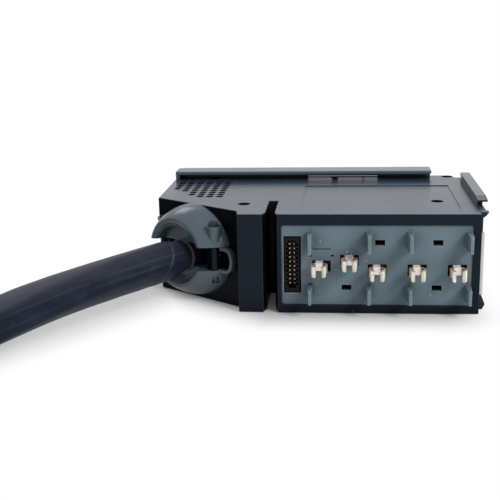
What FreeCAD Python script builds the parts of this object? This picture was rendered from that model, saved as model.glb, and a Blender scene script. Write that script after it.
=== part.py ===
"""Power distribution module: plug-in breaker unit with busbar jaws, guides and a clamped output cable.

Frame: origin on the bottom plane at mid length and mid depth of the housing, +Z up. The connector
face looks along -Y, the breaker's handle along +Y and the cable leaves through the slanted wall at -X.
"""
import FreeCAD
import Part
import math
import os

V = FreeCAD.Vector
UP = V(0, 0, 1)

# Fits
FIT = 0.15
POLE_PLAY = 0.05
PIN_PLAY = 0.06
SEAT_PLAY = 0.3

# Housing walls and plan
WALL = 2.2
EDGE_RADIUS = 0.6
CABLE_BAY_LENGTH = 51.6
POST_LENGTH = 15.5
POST_SIDE = 9.0
POST_TAPER = 1.4
EXIT_ANGLE = 35.7
SLOT_WIDTH = 5.1
SLOT_DEPTH = 35.7
LEAD_IN_DEPTH = 5.0
LEAD_IN_WIDTH = 1.6
EAR_STEP_LENGTH = 2.9
EAR_STEP_DEPTH = 7.4

# Breaker
POLE_WIDTH = 17.5
POLE_COUNT = 3
BREAKER_LENGTH = 85.0
SHOULDER_DEPTH = 44.0
BREAKER_REACH = 68.5
NOSE_LENGTH = 45.0
NOSE_TAPER = 1.5
NOSE_PROUD = 1.5
TERMINAL_DEPTH = 31.0
TERMINAL_POCKET = 6.0
RIGHT_WIRING_BAY = 32.8

# Breaker handle
HUB_RADIUS = 7.0
HUB_SETBACK = 4.0
HUB_WIDTH = 7.0
ARM_THICKNESS = 5.2
ARM_REACH = 15.5
TIE_BAR_DEPTH = 4.0
TIE_BAR_THICKNESS = 6.0
PIN_RADIUS = 1.5
HANDLE_TILT = 40.0
MOUTH_LENGTH = 19.0
MOUTH_DEPTH = 2.5
POCKET_PLAY = 0.5

# Mounting rail of the breaker, standard 35 mm top hat
RAIL_WIDTH = 35.0
RAIL_HAT_WIDTH = 27.0
RAIL_DEPTH = 7.5
RAIL_THICKNESS = 1.0

# Connector panel
PANEL_LEFT_MARGIN = 3.9
PANEL_RIGHT_MARGIN = 4.2
PANEL_BOTTOM_MARGIN = 4.9
PANEL_TOP_MARGIN = 6.3
PANEL_RECESS = 0.8
PANEL_FLANGE = 2.0
PANEL_FLANGE_REACH = 1.5
PANEL_CORNER = 1.5
NEUTRAL_OFFSET = 22.2
EARTH_PITCH = 15.6
FIRST_LINE_PITCH = 15.4
LINE_PITCH = 21.9
LAST_CONTACT_MARGIN = 8.1
NEUTRAL_HEIGHT = 22.4
EARTH_HEIGHT = 25.7
LINE_HEIGHT = 20.3
FIN_THICKNESS = 1.6
FIN_ROOT = 3.1
FIN_REACH = 12.5
UPPER_FIN_LENGTH = 9.4
NEUTRAL_FIN_EXTRA = 0.8
LOWER_FIN_LENGTH = 8.2
UPPER_FIN_MARGIN = 3.5
LOWER_FIN_MARGIN = 3.9
SNAP_LENGTH = 5.5
SNAP_HEIGHT = 3.2
SNAP_TOP_MARGIN = 9.9
SNAP_BOTTOM_MARGIN = 10.0
STANDOFF_RADIUS = 2.4
STANDOFF_INSET = 13.6
STANDOFF_RIGHT_INSET = 4.6
STANDOFF_EDGE = 4.4

# T-shaped insert round the neutral contact
INSERT_WIDTH = 15.0
INSERT_DROP = 17.2
INSERT_RISE = 5.4
INSERT_NECK_WIDTH = 10.4
INSERT_NECK_HEIGHT = 4.6
INSERT_THICKNESS = 1.2
INSERT_TOP_GAP = 0.5
NOTCH_INSET = 0.4
NOTCH_WIDTH = 1.7
NOTCH_HEIGHT = 1.1

# Busbar jaws
JAW_HEIGHT = 6.0
JAW_SHEET = 0.9
JAW_BASE_WIDTH = 4.2
JAW_BELLY = 8.6
JAW_PINCH = 3.3
JAW_LIP = 7.0
JAW_BASE_REACH = 3.1
JAW_REACH = 13.1
JAW_PINCH_REACH = 11.0
JAW_BELLY_BACK = 6.0
JAW_BELLY_FRONT = 8.2
JAW_BEND = 1.0
JAW_UNDERCUT = 1.6
JAW_LIP_ROUND = 1.3
JAW_NECK_WIDTH = 3.0
JAW_NECK_HEIGHT = 2.8
JAW_PLATE_WIDTH = 3.9
JAW_PLATE_START = 1.0
JAW_PLATE_THICKNESS = 1.4
WINDOW_WIDTH = 10.5
TAIL_HEIGHT = 4.6
TAIL_STUB = 4.5
EARTH_TAB_WIDTH = 5.7
EARTH_TAB_TIP = 2.0
EARTH_TAB_REACH = 6.0
EARTH_TAB_DROP = 1.5

# Signal connector
SIGNAL_WINDOW_WIDTH = 9.8
SIGNAL_WINDOW_HEIGHT = 33.0
SIGNAL_SIDE_GAP = 0.5
SIGNAL_SETBACK = 0.9
SIGNAL_DEPTH = 9.3
SIGNAL_INSET = 1.15
SIGNAL_RISE = 0.2
SIGNAL_PITCH = 2.54
SIGNAL_ROWS = 10
SIGNAL_SLOT_WIDTH = 4.4
SIGNAL_SLOT_DEPTH = 7.0
SIGNAL_NOTCH_REACH = 1.2
SIGNAL_NOTCH_HEIGHT = 1.5
BLADE_SHEET = 0.3
BLADE_HEIGHT = 1.0
BLADE_GAP = 1.3

# Sensor board and current transformers
BOARD_THICKNESS = 1.6
BOARD_MARGIN = 0.8
SENSOR_LENGTH = 7.4
SENSOR_RADIUS = 7.0
SENSOR_BORE = 4.0
WIRING_SPACE = 24.5

# Screws of the housing
BOSS_RADIUS = 4.5
WELL_RADIUS = 3.6
WELL_DEPTH = 8.0
SCREW_RADIUS = 1.5
SCREW_HEAD_RADIUS = 2.8
SCREW_HEAD_HEIGHT = 2.4
SCREW_END = 8.0
SCREW_PLAY = 0.1
POST_SCREW_INSET = 1.2
POST_SCREW_DEPTH = 27.8
BOX_SCREW_INSET = 20.8
BOX_SCREW_DEPTH = 36.3
BAY_SCREW_INSET = 25.7
BAY_SCREW_DEPTH = 6.3

# Top face: vents and bare recessed field
VENT_RADIUS = 2.35
VENT_PITCH_X = 6.0
VENT_PITCH_Y = 5.9
VENT_LEFT_MARGIN = 7.0
VENT_FRONT_MARGIN = 19.5
VENT_ROWS = (5, 6, 8, 9, 9, 9)
FIELD_LENGTH = 89.0
FIELD_WIDTH = 71.0
FIELD_RIGHT_MARGIN = 9.8
FIELD_REAR_MARGIN = 11.0
FIELD_DEPTH = 0.4
FIELD_CORNER = 2.0

# Front bezel
BEZEL_LENGTH = 169.0
BEZEL_THICKNESS = 3.0
LIP_REACH = 12.0
LIP_GAP = 3.2
LIP_THICKNESS = 2.1
LIP_ROUND = 1.0
BEZEL_END_WALL = 2.0
BEZEL_CORNER = 3.0
BEZEL_FAR_CORNER = 4.5
BEZEL_WINDOW_PLAY = 0.5
BEZEL_SILL = 1.9
SLIT_SILL = 1.4
RIB_POSITIONS = (-5.3, 13.5)
RIB_WIDTHS = (4.1, 0.9)
LUG_WIDTH = 8.0
LUG_HEIGHT = 4.0
LUG_HEAD_WIDTH = 12.0
LUG_HEAD_THICKNESS = 1.6
LUG_INSET = 9.0

# Guides on the right end
GUIDE_WEB = 1.4
GUIDE_FLANGE = 3.3
GUIDE_FLANGE_HEIGHT = 1.9
GUIDE_START = 6.0
GUIDE_BOTTOM = 1.0
GUIDE_WEDGE_HEIGHT = 10.0
GUIDE_WEDGE_REACH = 4.1
GUIDE_WEDGE_LEAD = 1.5
GUIDE_WEDGE_RISE = 3.0
NOSE_REACH = 4.5
NOSE_DEPTH = 5.0
GUIDE_LUG_POSITIONS = (30.0, 95.0)
RAIL_START = 26.0
RAIL_LENGTH = 76.5
RAIL_WEB_INSET = 0.5
RAIL_WEB_WIDTH = 3.0
RAIL_WEB_HEIGHT = 2.2
RAIL_FLANGE_INSET = 0.2
RAIL_FLANGE_WIDTH = 5.6
RAIL_FLANGE_HEIGHT = 2.1
RAIL_OVERHANG = 4.0
RAIL_RAMP = 8.0
RAIL_RAMP_DROP = 1.1
PAD_THICKNESS = 1.6
PAD_START = 0.6
PAD_BOTTOM = 11.0
PAD_HEIGHT = 35.0

# Cable clamp
CABLE_RADIUS = 11.5
CABLE_NECK_RADIUS = 9.0
CABLE_NECK_REACH = 10.0
CABLE_NECK_TAPER = 14.0
CABLE_SAG = 1.6
CLAMP_END_DISTANCE = 26.6
CLAMP_LEAN = 4.5
CLAMP_RISE = 1.1
CLAMP_SHOULDER_REACH = 0.60
CLAMP_SHOULDER_BULGE = 0.62
CLAMP_SHIFT = 4.0
CLAMP_RIM_WALL = 4.6
CLAMP_DOME_FALL = 6.6
CLAMP_CREST = 13.5
CLAMP_CUP_ROOM = 8.2
CLAMP_RIM_DEPTH = 1.5
CLAMP_CUP_DEPTH = 4.8
CLAMP_CUP_DRAFT = 1.6
CLAMP_GAP = 14.0
CLAMP_SCREW_SPACING = 40.0
CLAMP_SCREW_STANDOFF = 5.0
CLAMP_POST_RADIUS = 3.0
CLAMP_POST_LUG = 2.0
CLAMP_BOSS_RADIUS = 4.8
CLAMP_BOSS_FOOT_RADIUS = 3.0
CLAMP_BOSS_HEIGHT = 12.0
CLAMP_WELL_RADIUS = 3.7
CLAMP_SEAT_HEIGHT = 6.0
CLAMP_SCREW_RADIUS = 2.0
CLAMP_HEAD_RADIUS = 3.2
CLAMP_HEAD_HEIGHT = 3.2
CLAMP_SCREW_GRIP = 5.5
CLAMP_TIP_ROOM = 3.0
STRAP_THICKNESS = 1.8
STRAP_WIDTH = 3.4
STRAP_START = 2.5
STRAP_BULGE = 8.6
STRAP_LAP = 3.0
RING_WIDTH = 1.2
RING_THICKNESS = 0.8
HOLE_PLAY = 0.5

# Cable route out of the clamp, coil of the rest of its length, and the connector at its end
CABLE_INSIDE = 9.0
CABLE_STRAIGHT = 41.0
ROUTE_STEPS = (
    (-55.1, -77.2, 25.5),
    (-81.5, -113.0, 21.0),
    (-111.5, -152.5, 14.5),
    (-146.5, -183.5, 12.6),
    (-191.6, -207.5, 12.5),
)
COIL_STEP = (-240.5, -90.5)
COIL_LAP_START = -15.0
COIL_LAP = 165.0
TIE_ANGLE = 45.0
TAIL_STEPS = ((-1.2, 52.0, 33.8), (0.0, 100.0, 29.0))
COIL_RADIUS = 124.0
COIL_LIFT = 1.0
TIE_THICKNESS = 0.7
TIE_WIDTH = 10.0
CONNECTOR_RADIUS = 29.0
CONNECTOR_LENGTH = 58.0
CONNECTOR_WAIST = 24.0
CONNECTOR_RIM = 10.0
FACE_SETBACK = 1.5
FACE_THICKNESS = 12.0
FACE_RADIUS = 25.0
FACE_SLOT_RADIUS = 15.0
FACE_SLOT_SPAN = 38.0
FACE_SLOT_WIDTH = 3.0
FACE_SLOT_DEPTH = 9.0
FACE_SLOTS = 5
NUT_RADIUS = 19.5
NUT_LENGTH = 30.0
NUT_MOUTH_RADIUS = 15.0
NUT_FLUTES = 18

# Inner wires
WIRE_RADIUS = 2.2
CORE_CIRCLE = 5.2
WIRE_LEAD = 17.0
WIRE_BEND = 9.0

# Places worked out from the sizes above
CLAMP_RADIUS = CLAMP_SCREW_SPACING / 2 + CLAMP_POST_RADIUS + CLAMP_RIM_WALL
CLAMP_CREST_RADIUS = CLAMP_RADIUS - CLAMP_DOME_FALL
CLAMP_RIM_RADIUS = CABLE_NECK_RADIUS + CLAMP_CUP_ROOM
CLAMP_CUP_FLOOR = CLAMP_CREST - CLAMP_RIM_DEPTH - CLAMP_CUP_DEPTH
CLAMP_SCREW_OFFSETS = (CLAMP_SHIFT + CLAMP_SCREW_SPACING / 2, CLAMP_SHIFT - CLAMP_SCREW_SPACING / 2)
STRAP_OFFSET = CLAMP_SHIFT + CLAMP_RADIUS - STRAP_LAP
SIGNAL_FRONT = PANEL_RECESS + SIGNAL_SETBACK
BOARD_FRONT = SIGNAL_FRONT + SIGNAL_DEPTH
BOARD_BACK = BOARD_FRONT + BOARD_THICKNESS
TAIL_END = BOARD_BACK + SENSOR_LENGTH + TAIL_STUB
PANEL_LENGTH = NEUTRAL_OFFSET + EARTH_PITCH + FIRST_LINE_PITCH + 2 * LINE_PITCH + LAST_CONTACT_MARGIN
BOX_LENGTH = PANEL_LEFT_MARGIN + PANEL_LENGTH + PANEL_RIGHT_MARGIN
BODY_LENGTH = CABLE_BAY_LENGTH + POST_TAPER + POST_LENGTH + SLOT_WIDTH + BOX_LENGTH
BODY_DEPTH = TAIL_END + WIRING_SPACE + BREAKER_REACH - NOSE_PROUD
BODY_HEIGHT = POLE_COUNT * POLE_WIDTH + 2 * (WALL + POLE_PLAY)
PARTING = BODY_HEIGHT / 2
LEFT = -BODY_LENGTH / 2
RIGHT = BODY_LENGTH / 2
REAR = -BODY_DEPTH / 2
FRONT = BODY_DEPTH / 2
SLOT_RIGHT = RIGHT - BOX_LENGTH
SLOT_LEFT = SLOT_RIGHT - SLOT_WIDTH
SLOT_BACK = REAR + SLOT_DEPTH
POST_LEFT = SLOT_LEFT - POST_LENGTH
WALL_START = V(POST_LEFT - POST_TAPER, REAR + POST_SIDE, 0)
WALL_END = V(LEFT, WALL_START.y + CABLE_BAY_LENGTH * math.tan(math.radians(EXIT_ANGLE)), 0)
OUTWARD = V(-math.sin(math.radians(EXIT_ANGLE)), -math.cos(math.radians(EXIT_ANGLE)), 0)
ALONG = UP.cross(OUTWARD)
CLAMP_FOOT = WALL_END + ALONG * CLAMP_END_DISTANCE
CLAMP_TOP = PARTING + CLAMP_GAP / 2
CLAMP_BOTTOM = PARTING - CLAMP_GAP / 2
PANEL_LEFT = SLOT_RIGHT + PANEL_LEFT_MARGIN
PANEL_RIGHT = PANEL_LEFT + PANEL_LENGTH
PANEL_BOTTOM = PANEL_BOTTOM_MARGIN
PANEL_TOP = BODY_HEIGHT - PANEL_TOP_MARGIN
PANEL_FACE = REAR + PANEL_RECESS
PANEL_BACK = REAR + WALL + PANEL_FLANGE
BREAKER_BACK = REAR + TAIL_END + WIRING_SPACE
BREAKER_RIGHT = RIGHT - RIGHT_WIRING_BAY
BREAKER_LEFT = BREAKER_RIGHT - BREAKER_LENGTH
BREAKER_CENTRE = (BREAKER_LEFT + BREAKER_RIGHT) / 2
NOSE_FRONT = BREAKER_BACK + BREAKER_REACH
HANDLE_Y = NOSE_FRONT - HUB_SETBACK
TERMINAL_Y = BREAKER_BACK + TERMINAL_DEPTH
LIP_BOTTOM = BODY_HEIGHT + LIP_GAP
LIP_TOP = LIP_BOTTOM + LIP_THICKNESS
CABLE_HEIGHT = PARTING - CABLE_SAG
CABLE_FOOT = CLAMP_FOOT + UP * CABLE_HEIGHT
CABLE_END = CABLE_FOOT - OUTWARD * CABLE_INSIDE
COIL_CENTRE = (CLAMP_FOOT.x + COIL_STEP[0], CLAMP_FOOT.y + COIL_STEP[1])
COIL_LOW = COIL_LIFT + CABLE_RADIUS
COIL_HIGH = COIL_LIFT + 3 * CABLE_RADIUS
CABLE_ROUTE = [CABLE_END, CABLE_FOOT + OUTWARD * CABLE_STRAIGHT]
CABLE_ROUTE += [V(CLAMP_FOOT.x + x, CLAMP_FOOT.y + y, z) for x, y, z in ROUTE_STEPS]
CABLE_ROUTE.append(V(COIL_CENTRE[0], COIL_CENTRE[1] - COIL_RADIUS, COIL_LOW))
COIL_LEAVE = (COIL_CENTRE[0] - COIL_RADIUS, COIL_CENTRE[1])
CABLE_TAIL_ROUTE = [V(COIL_LEAVE[0], COIL_LEAVE[1], COIL_HIGH)]
CABLE_TAIL_ROUTE += [V(COIL_LEAVE[0] + x, COIL_LEAVE[1] + y, z) for x, y, z in TAIL_STEPS]

SCREW_PLACES = (
    (POST_LEFT + POST_SCREW_INSET, REAR + POST_SCREW_DEPTH),
    (RIGHT - BOX_SCREW_INSET, REAR + BOX_SCREW_DEPTH),
    (RIGHT - EAR_STEP_LENGTH - BOSS_RADIUS, FRONT - BOSS_RADIUS),
    (LEFT + BAY_SCREW_INSET, FRONT - BAY_SCREW_DEPTH),
)
CONTACT_X = {"neutral": PANEL_LEFT + NEUTRAL_OFFSET}
CONTACT_X["earth"] = CONTACT_X["neutral"] + EARTH_PITCH
CONTACT_X["line_1"] = CONTACT_X["earth"] + FIRST_LINE_PITCH
CONTACT_X["line_2"] = CONTACT_X["line_1"] + LINE_PITCH
CONTACT_X["line_3"] = CONTACT_X["line_2"] + LINE_PITCH
CONTACT_Z = {name: PANEL_BOTTOM + LINE_HEIGHT for name in CONTACT_X}
CONTACT_Z["neutral"] = PANEL_BOTTOM + NEUTRAL_HEIGHT
CONTACT_Z["earth"] = PANEL_BOTTOM + EARTH_HEIGHT
LINES = ("line_1", "line_2", "line_3")
FIN_OFFSETS = {"neutral": -6.2, "line_1": -4.7, "line_2": -4.1, "line_3": 5.9}
JAW_SHIFTS = {"neutral": -1.1, "earth": -0.1, "line_1": -0.3, "line_2": -0.3, "line_3": -0.3}
SNAPS_ABOVE = {"line_1": 1.4, "line_3": -10.8}
SNAPS_BELOW = {"earth": -1.6, "line_3": -10.9}


def box(x0, x1, y0, y1, z0, z1):
    """Box between two values on each axis."""
    return Part.makeBox(x1 - x0, y1 - y0, z1 - z0, V(x0, y0, z0))


def rod(start, radius, length, axis=UP):
    """Cylinder from a start point along an axis."""
    return Part.makeCylinder(radius, length, start, axis)


def polygon_face(points):
    """Flat face inside a closed polygon."""
    vectors = [V(*point) for point in points]
    return Part.Face(Part.makePolygon(vectors + vectors[:1]))


def prism(points, z0, z1):
    """Plan polygon drawn up from one height to another."""
    return polygon_face([(x, y, z0) for x, y in points]).extrude(UP * (z1 - z0))


def rounded_box(x0, x1, y0, y1, z0, z1, radius, axis):
    """Box with the four edges along one axis rounded."""
    solid = box(x0, x1, y0, y1, z0, z1)
    edges = [edge for edge in solid.Edges if abs(edge.tangentAt(edge.FirstParameter).dot(axis)) > 0.9]
    return solid.makeFillet(radius, edges)


def rounded_path(points, radii):
    """Edges of straight runs joined by tangent arcs, one radius for each inner point."""
    edges = []
    last = points[0]
    for before, corner, after, radius in zip(points, points[1:], points[2:], radii):
        arriving = (corner - before).normalize()
        leaving = (after - corner).normalize()
        half = arriving.getAngle(leaving) / 2
        start = corner - arriving * (radius * math.tan(half))
        end = corner + leaving * (radius * math.tan(half))
        inward = (leaving - arriving).normalize()
        middle = corner + inward * (radius / math.cos(half) - radius)
        if (start - last).Length > 1e-6:
            edges.append(Part.LineSegment(last, start).toShape())
        edges.append(Part.Arc(start, middle, end).toShape())
        last = end
    edges.append(Part.LineSegment(last, points[-1]).toShape())
    return edges


def largest_radii(points, limit=None):
    """Arc radius at each inner point, as large as its two runs allow."""
    radii = []
    for before, corner, after in zip(points, points[1:], points[2:]):
        half = (corner - before).getAngle(after - corner) / 2
        shorter = min((corner - before).Length, (after - corner).Length)
        radius = 0.45 * shorter / math.tan(half)
        radii.append(radius if limit is None else min(radius, limit))
    return radii


def tube(points, radius, bend_limit=None):
    """Round solid along straight runs and tangent arcs."""
    vectors = list(points)
    path = Part.Wire(rounded_path(vectors, largest_radii(vectors, bend_limit)))
    heading = (vectors[1] - vectors[0]).normalize()
    section = Part.Wire(Part.makeCircle(radius, vectors[0], heading))
    return path.makePipeShell([section], True, False)


def strip_face(points, thickness, bend):
    """Face of a bent sheet seen on edge, from its middle line in the XY plane."""
    vectors = [V(x, y, 0) for x, y in points]
    sides = []
    for side in (1, -1):
        outline = []
        radii = []
        headings = [(b - a).normalize() for a, b in zip(vectors, vectors[1:])]
        normals = [V(-h.y, h.x, 0) * side for h in headings]
        outline.append(vectors[0] + normals[0] * (thickness / 2))
        for place, first, second, h1, h2 in zip(vectors[1:], normals, normals[1:], headings, headings[1:]):
            outline.append(place + (first + second) * (thickness / 2 / (1 + first.dot(second))))
            turn = h1.cross(h2).z * side
            radii.append(bend - math.copysign(thickness / 2, turn))
        outline.append(vectors[-1] + normals[-1] * (thickness / 2))
        sides.append((outline, radii))
    (left, left_radii), (right, right_radii) = sides
    right = right[::-1]
    edges = rounded_path(left, left_radii)
    edges.append(Part.LineSegment(left[-1], right[0]).toShape())
    edges += rounded_path(right, right_radii[::-1])
    edges.append(Part.LineSegment(right[-1], left[0]).toShape())
    return Part.Face(Part.Wire(edges))


def join(shapes):
    """One solid from shapes that share volume."""
    return shapes[0].multiFuse(shapes[1:]).removeSplitter()


def group(shapes):
    """Separate solids kept together."""
    return Part.makeCompound(shapes)


def clamp_place(shape):
    """Move a shape from the clamp's own axes (outward, along, up) to the slanted wall."""
    turn = math.degrees(math.atan2(OUTWARD.y, OUTWARD.x))
    moved = shape.copy()
    moved.Placement = FreeCAD.Placement(CLAMP_FOOT, FreeCAD.Rotation(UP, turn)).multiply(moved.Placement)
    return moved


def trap_lug(grow=0.0):
    """T-shaped lug that the two shells trap, drawn with its shoulder at the origin and its head along -Y."""
    neck = box(-LUG_WIDTH / 2 - grow, LUG_WIDTH / 2 + grow, -WALL - FIT - LUG_HEAD_THICKNESS, 0.0,
               PARTING - LUG_HEIGHT / 2 - grow, PARTING + LUG_HEIGHT / 2 + grow)
    head = box(-LUG_HEAD_WIDTH / 2, LUG_HEAD_WIDTH / 2, -WALL - FIT - LUG_HEAD_THICKNESS, -WALL - FIT,
               PARTING - LUG_HEIGHT / 2, PARTING + LUG_HEIGHT / 2)
    return neck if grow else join([neck, head])


def front_lug(x, grow=0.0):
    """Trapped lug of the bezel at one place along the front wall."""
    lug = trap_lug(grow)
    lug.translate(V(x, FRONT, 0))
    return lug


def end_lug(y, grow=0.0):
    """Trapped lug of the end guide at one place along the right wall."""
    lug = trap_lug(grow)
    lug.rotate(V(0, 0, 0), UP, -90)
    lug.translate(V(RIGHT, y, 0))
    return lug


FRONT_LUGS = (LEFT + LUG_INSET, LEFT + BEZEL_LENGTH - LUG_INSET)
END_LUGS = tuple(REAR + position for position in GUIDE_LUG_POSITIONS)


def body_outline():
    """Plan of the housing, counter-clockwise from the post's near corner."""
    return [
        (POST_LEFT, REAR),
        (SLOT_LEFT - LEAD_IN_WIDTH, REAR),
        (SLOT_LEFT, REAR + LEAD_IN_DEPTH),
        (SLOT_LEFT, SLOT_BACK),
        (SLOT_RIGHT, SLOT_BACK),
        (SLOT_RIGHT, REAR + LEAD_IN_DEPTH),
        (SLOT_RIGHT + LEAD_IN_WIDTH, REAR),
        (RIGHT, REAR),
        (RIGHT, FRONT - EAR_STEP_DEPTH),
        (RIGHT - EAR_STEP_LENGTH, FRONT - EAR_STEP_DEPTH),
        (RIGHT - EAR_STEP_LENGTH, FRONT),
        (LEFT, FRONT),
        (WALL_END.x, WALL_END.y),
        (WALL_START.x, WALL_START.y),
    ]


def vents():
    """Round vent holes through the top, fewer where the slanted wall cuts the corner."""
    holes = []
    for column, rows in enumerate(VENT_ROWS):
        for row in range(rows):
            x = LEFT + VENT_LEFT_MARGIN + column * VENT_PITCH_X
            y = FRONT - VENT_FRONT_MARGIN - row * VENT_PITCH_Y
            holes.append(rod(V(x, y, BODY_HEIGHT - 2 * WALL), VENT_RADIUS, 3 * WALL))
    return holes


def clamp_posts():
    """Split posts on the slanted wall that the clamp halves are drawn down on."""
    posts = []
    for along in CLAMP_SCREW_OFFSETS:
        block = box(-WALL / 2, CLAMP_SCREW_STANDOFF, along - CLAMP_POST_RADIUS, along + CLAMP_POST_RADIUS,
                    CLAMP_BOTTOM, CLAMP_TOP)
        inner = along - math.copysign(CLAMP_POST_RADIUS + CLAMP_POST_LUG, along)
        lug_front = CLAMP_SCREW_STANDOFF + CLAMP_POST_RADIUS / 2
        lug = box(-WALL / 2, lug_front, min(along, inner), max(along, inner), CLAMP_BOTTOM, CLAMP_TOP)
        nose = rod(V(CLAMP_SCREW_STANDOFF, along, CLAMP_BOTTOM), CLAMP_POST_RADIUS, CLAMP_GAP)
        posts.append(clamp_place(join([block, nose, lug])))
    return posts


def clamp_shank_holes(radius, low, high):
    """Upright holes at the clamp screws."""
    holes = []
    for along in CLAMP_SCREW_OFFSETS:
        start = V(CLAMP_SCREW_STANDOFF, along, low)
        holes.append(clamp_place(rod(start, radius, high - low)))
    return holes


def housing():
    """Both shells: one hollow body with bosses and openings, parted at mid height."""
    outer = prism(body_outline(), 0, BODY_HEIGHT)
    ear = [edge for edge in outer.Edges
           if abs(edge.CenterOfMass.x - (RIGHT - EAR_STEP_LENGTH)) < 1e-6
           and abs(edge.CenterOfMass.y - FRONT) < 1e-6]
    outer = outer.makeFillet(BOSS_RADIUS, ear)
    rims = [edge for edge in outer.Edges
            if edge.BoundBox.ZMax < 1e-6 or edge.BoundBox.ZMin > BODY_HEIGHT - 1e-6]
    outer = outer.makeFillet(EDGE_RADIUS, rims)
    inner = polygon_face([(x, y, WALL) for x, y in body_outline()]).makeOffset2D(-WALL, 2)
    cavity = inner.extrude(UP * (BODY_HEIGHT - 2 * WALL))
    body = outer.cut(cavity)
    columns = [rod(V(x, y, WALL / 2), BOSS_RADIUS, BODY_HEIGHT - WALL) for x, y in SCREW_PLACES]
    body = body.multiFuse(columns + clamp_posts())

    cutters = vents()
    cutters.append(rounded_box(PANEL_LEFT - FIT, PANEL_RIGHT + FIT, REAR - WALL, REAR + 2 * WALL,
                               PANEL_BOTTOM - FIT, PANEL_TOP + FIT, PANEL_CORNER + FIT, V(0, 1, 0)))
    cutters.append(box(BREAKER_CENTRE - NOSE_LENGTH / 2 - BEZEL_WINDOW_PLAY,
                       BREAKER_CENTRE + NOSE_LENGTH / 2 + BEZEL_WINDOW_PLAY,
                       FRONT - 2 * WALL, FRONT + WALL, WALL, BODY_HEIGHT - WALL))
    cutters.append(clamp_place(rod(V(-2 * WALL, 0, CABLE_HEIGHT), CABLE_NECK_RADIUS + HOLE_PLAY, 4 * WALL,
                                   V(1, 0, 0))))
    cutters += clamp_shank_holes(CLAMP_SCREW_RADIUS + SCREW_PLAY, CLAMP_BOTTOM - 1, CLAMP_TOP + 1)
    cutters += [front_lug(x, FIT) for x in FRONT_LUGS]
    cutters += [end_lug(y, FIT) for y in END_LUGS]
    cutters.append(rounded_box(RIGHT - FIELD_RIGHT_MARGIN - FIELD_LENGTH, RIGHT - FIELD_RIGHT_MARGIN,
                               REAR + FIELD_REAR_MARGIN, REAR + FIELD_REAR_MARGIN + FIELD_WIDTH,
                               BODY_HEIGHT - FIELD_DEPTH, BODY_HEIGHT + WALL, FIELD_CORNER, UP))
    for x, y in SCREW_PLACES:
        cutters.append(rod(V(x, y, BODY_HEIGHT - WELL_DEPTH), WELL_RADIUS, WELL_DEPTH + WALL))
        cutters.append(rod(V(x, y, SCREW_END - 1), SCREW_RADIUS + SCREW_PLAY, BODY_HEIGHT - SCREW_END))
    body = body.cut(Part.makeCompound(cutters))

    margin = BODY_LENGTH
    above = box(-margin, margin, -margin, margin, PARTING, 2 * BODY_HEIGHT)
    below = box(-margin, margin, -margin, margin, -BODY_HEIGHT, PARTING)
    return largest_solid(body.common(above)), largest_solid(body.common(below))


def largest_solid(shape):
    """The one solid of a cut's result."""
    return max(shape.Solids, key=lambda solid: solid.Volume)


def housing_screws():
    """Pan-head screws in the four wells."""
    screws = []
    seat = BODY_HEIGHT - WELL_DEPTH
    for x, y in SCREW_PLACES:
        head = rod(V(x, y, seat), SCREW_HEAD_RADIUS, SCREW_HEAD_HEIGHT)
        shank = rod(V(x, y, SCREW_END), SCREW_RADIUS, seat - SCREW_END + 0.5)
        screws.append(join([head, shank]))
    return group(screws)


def far_corner_waste(x, y):
    """What the rounding of the bezel's far upright corner takes away."""
    size = BEZEL_FAR_CORNER
    block = box(x - 1, x + size, y - size, y + 1, -1, LIP_TOP + 1)
    return block.cut(rod(V(x + size, y - size, -1), size, LIP_TOP + 2))


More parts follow.
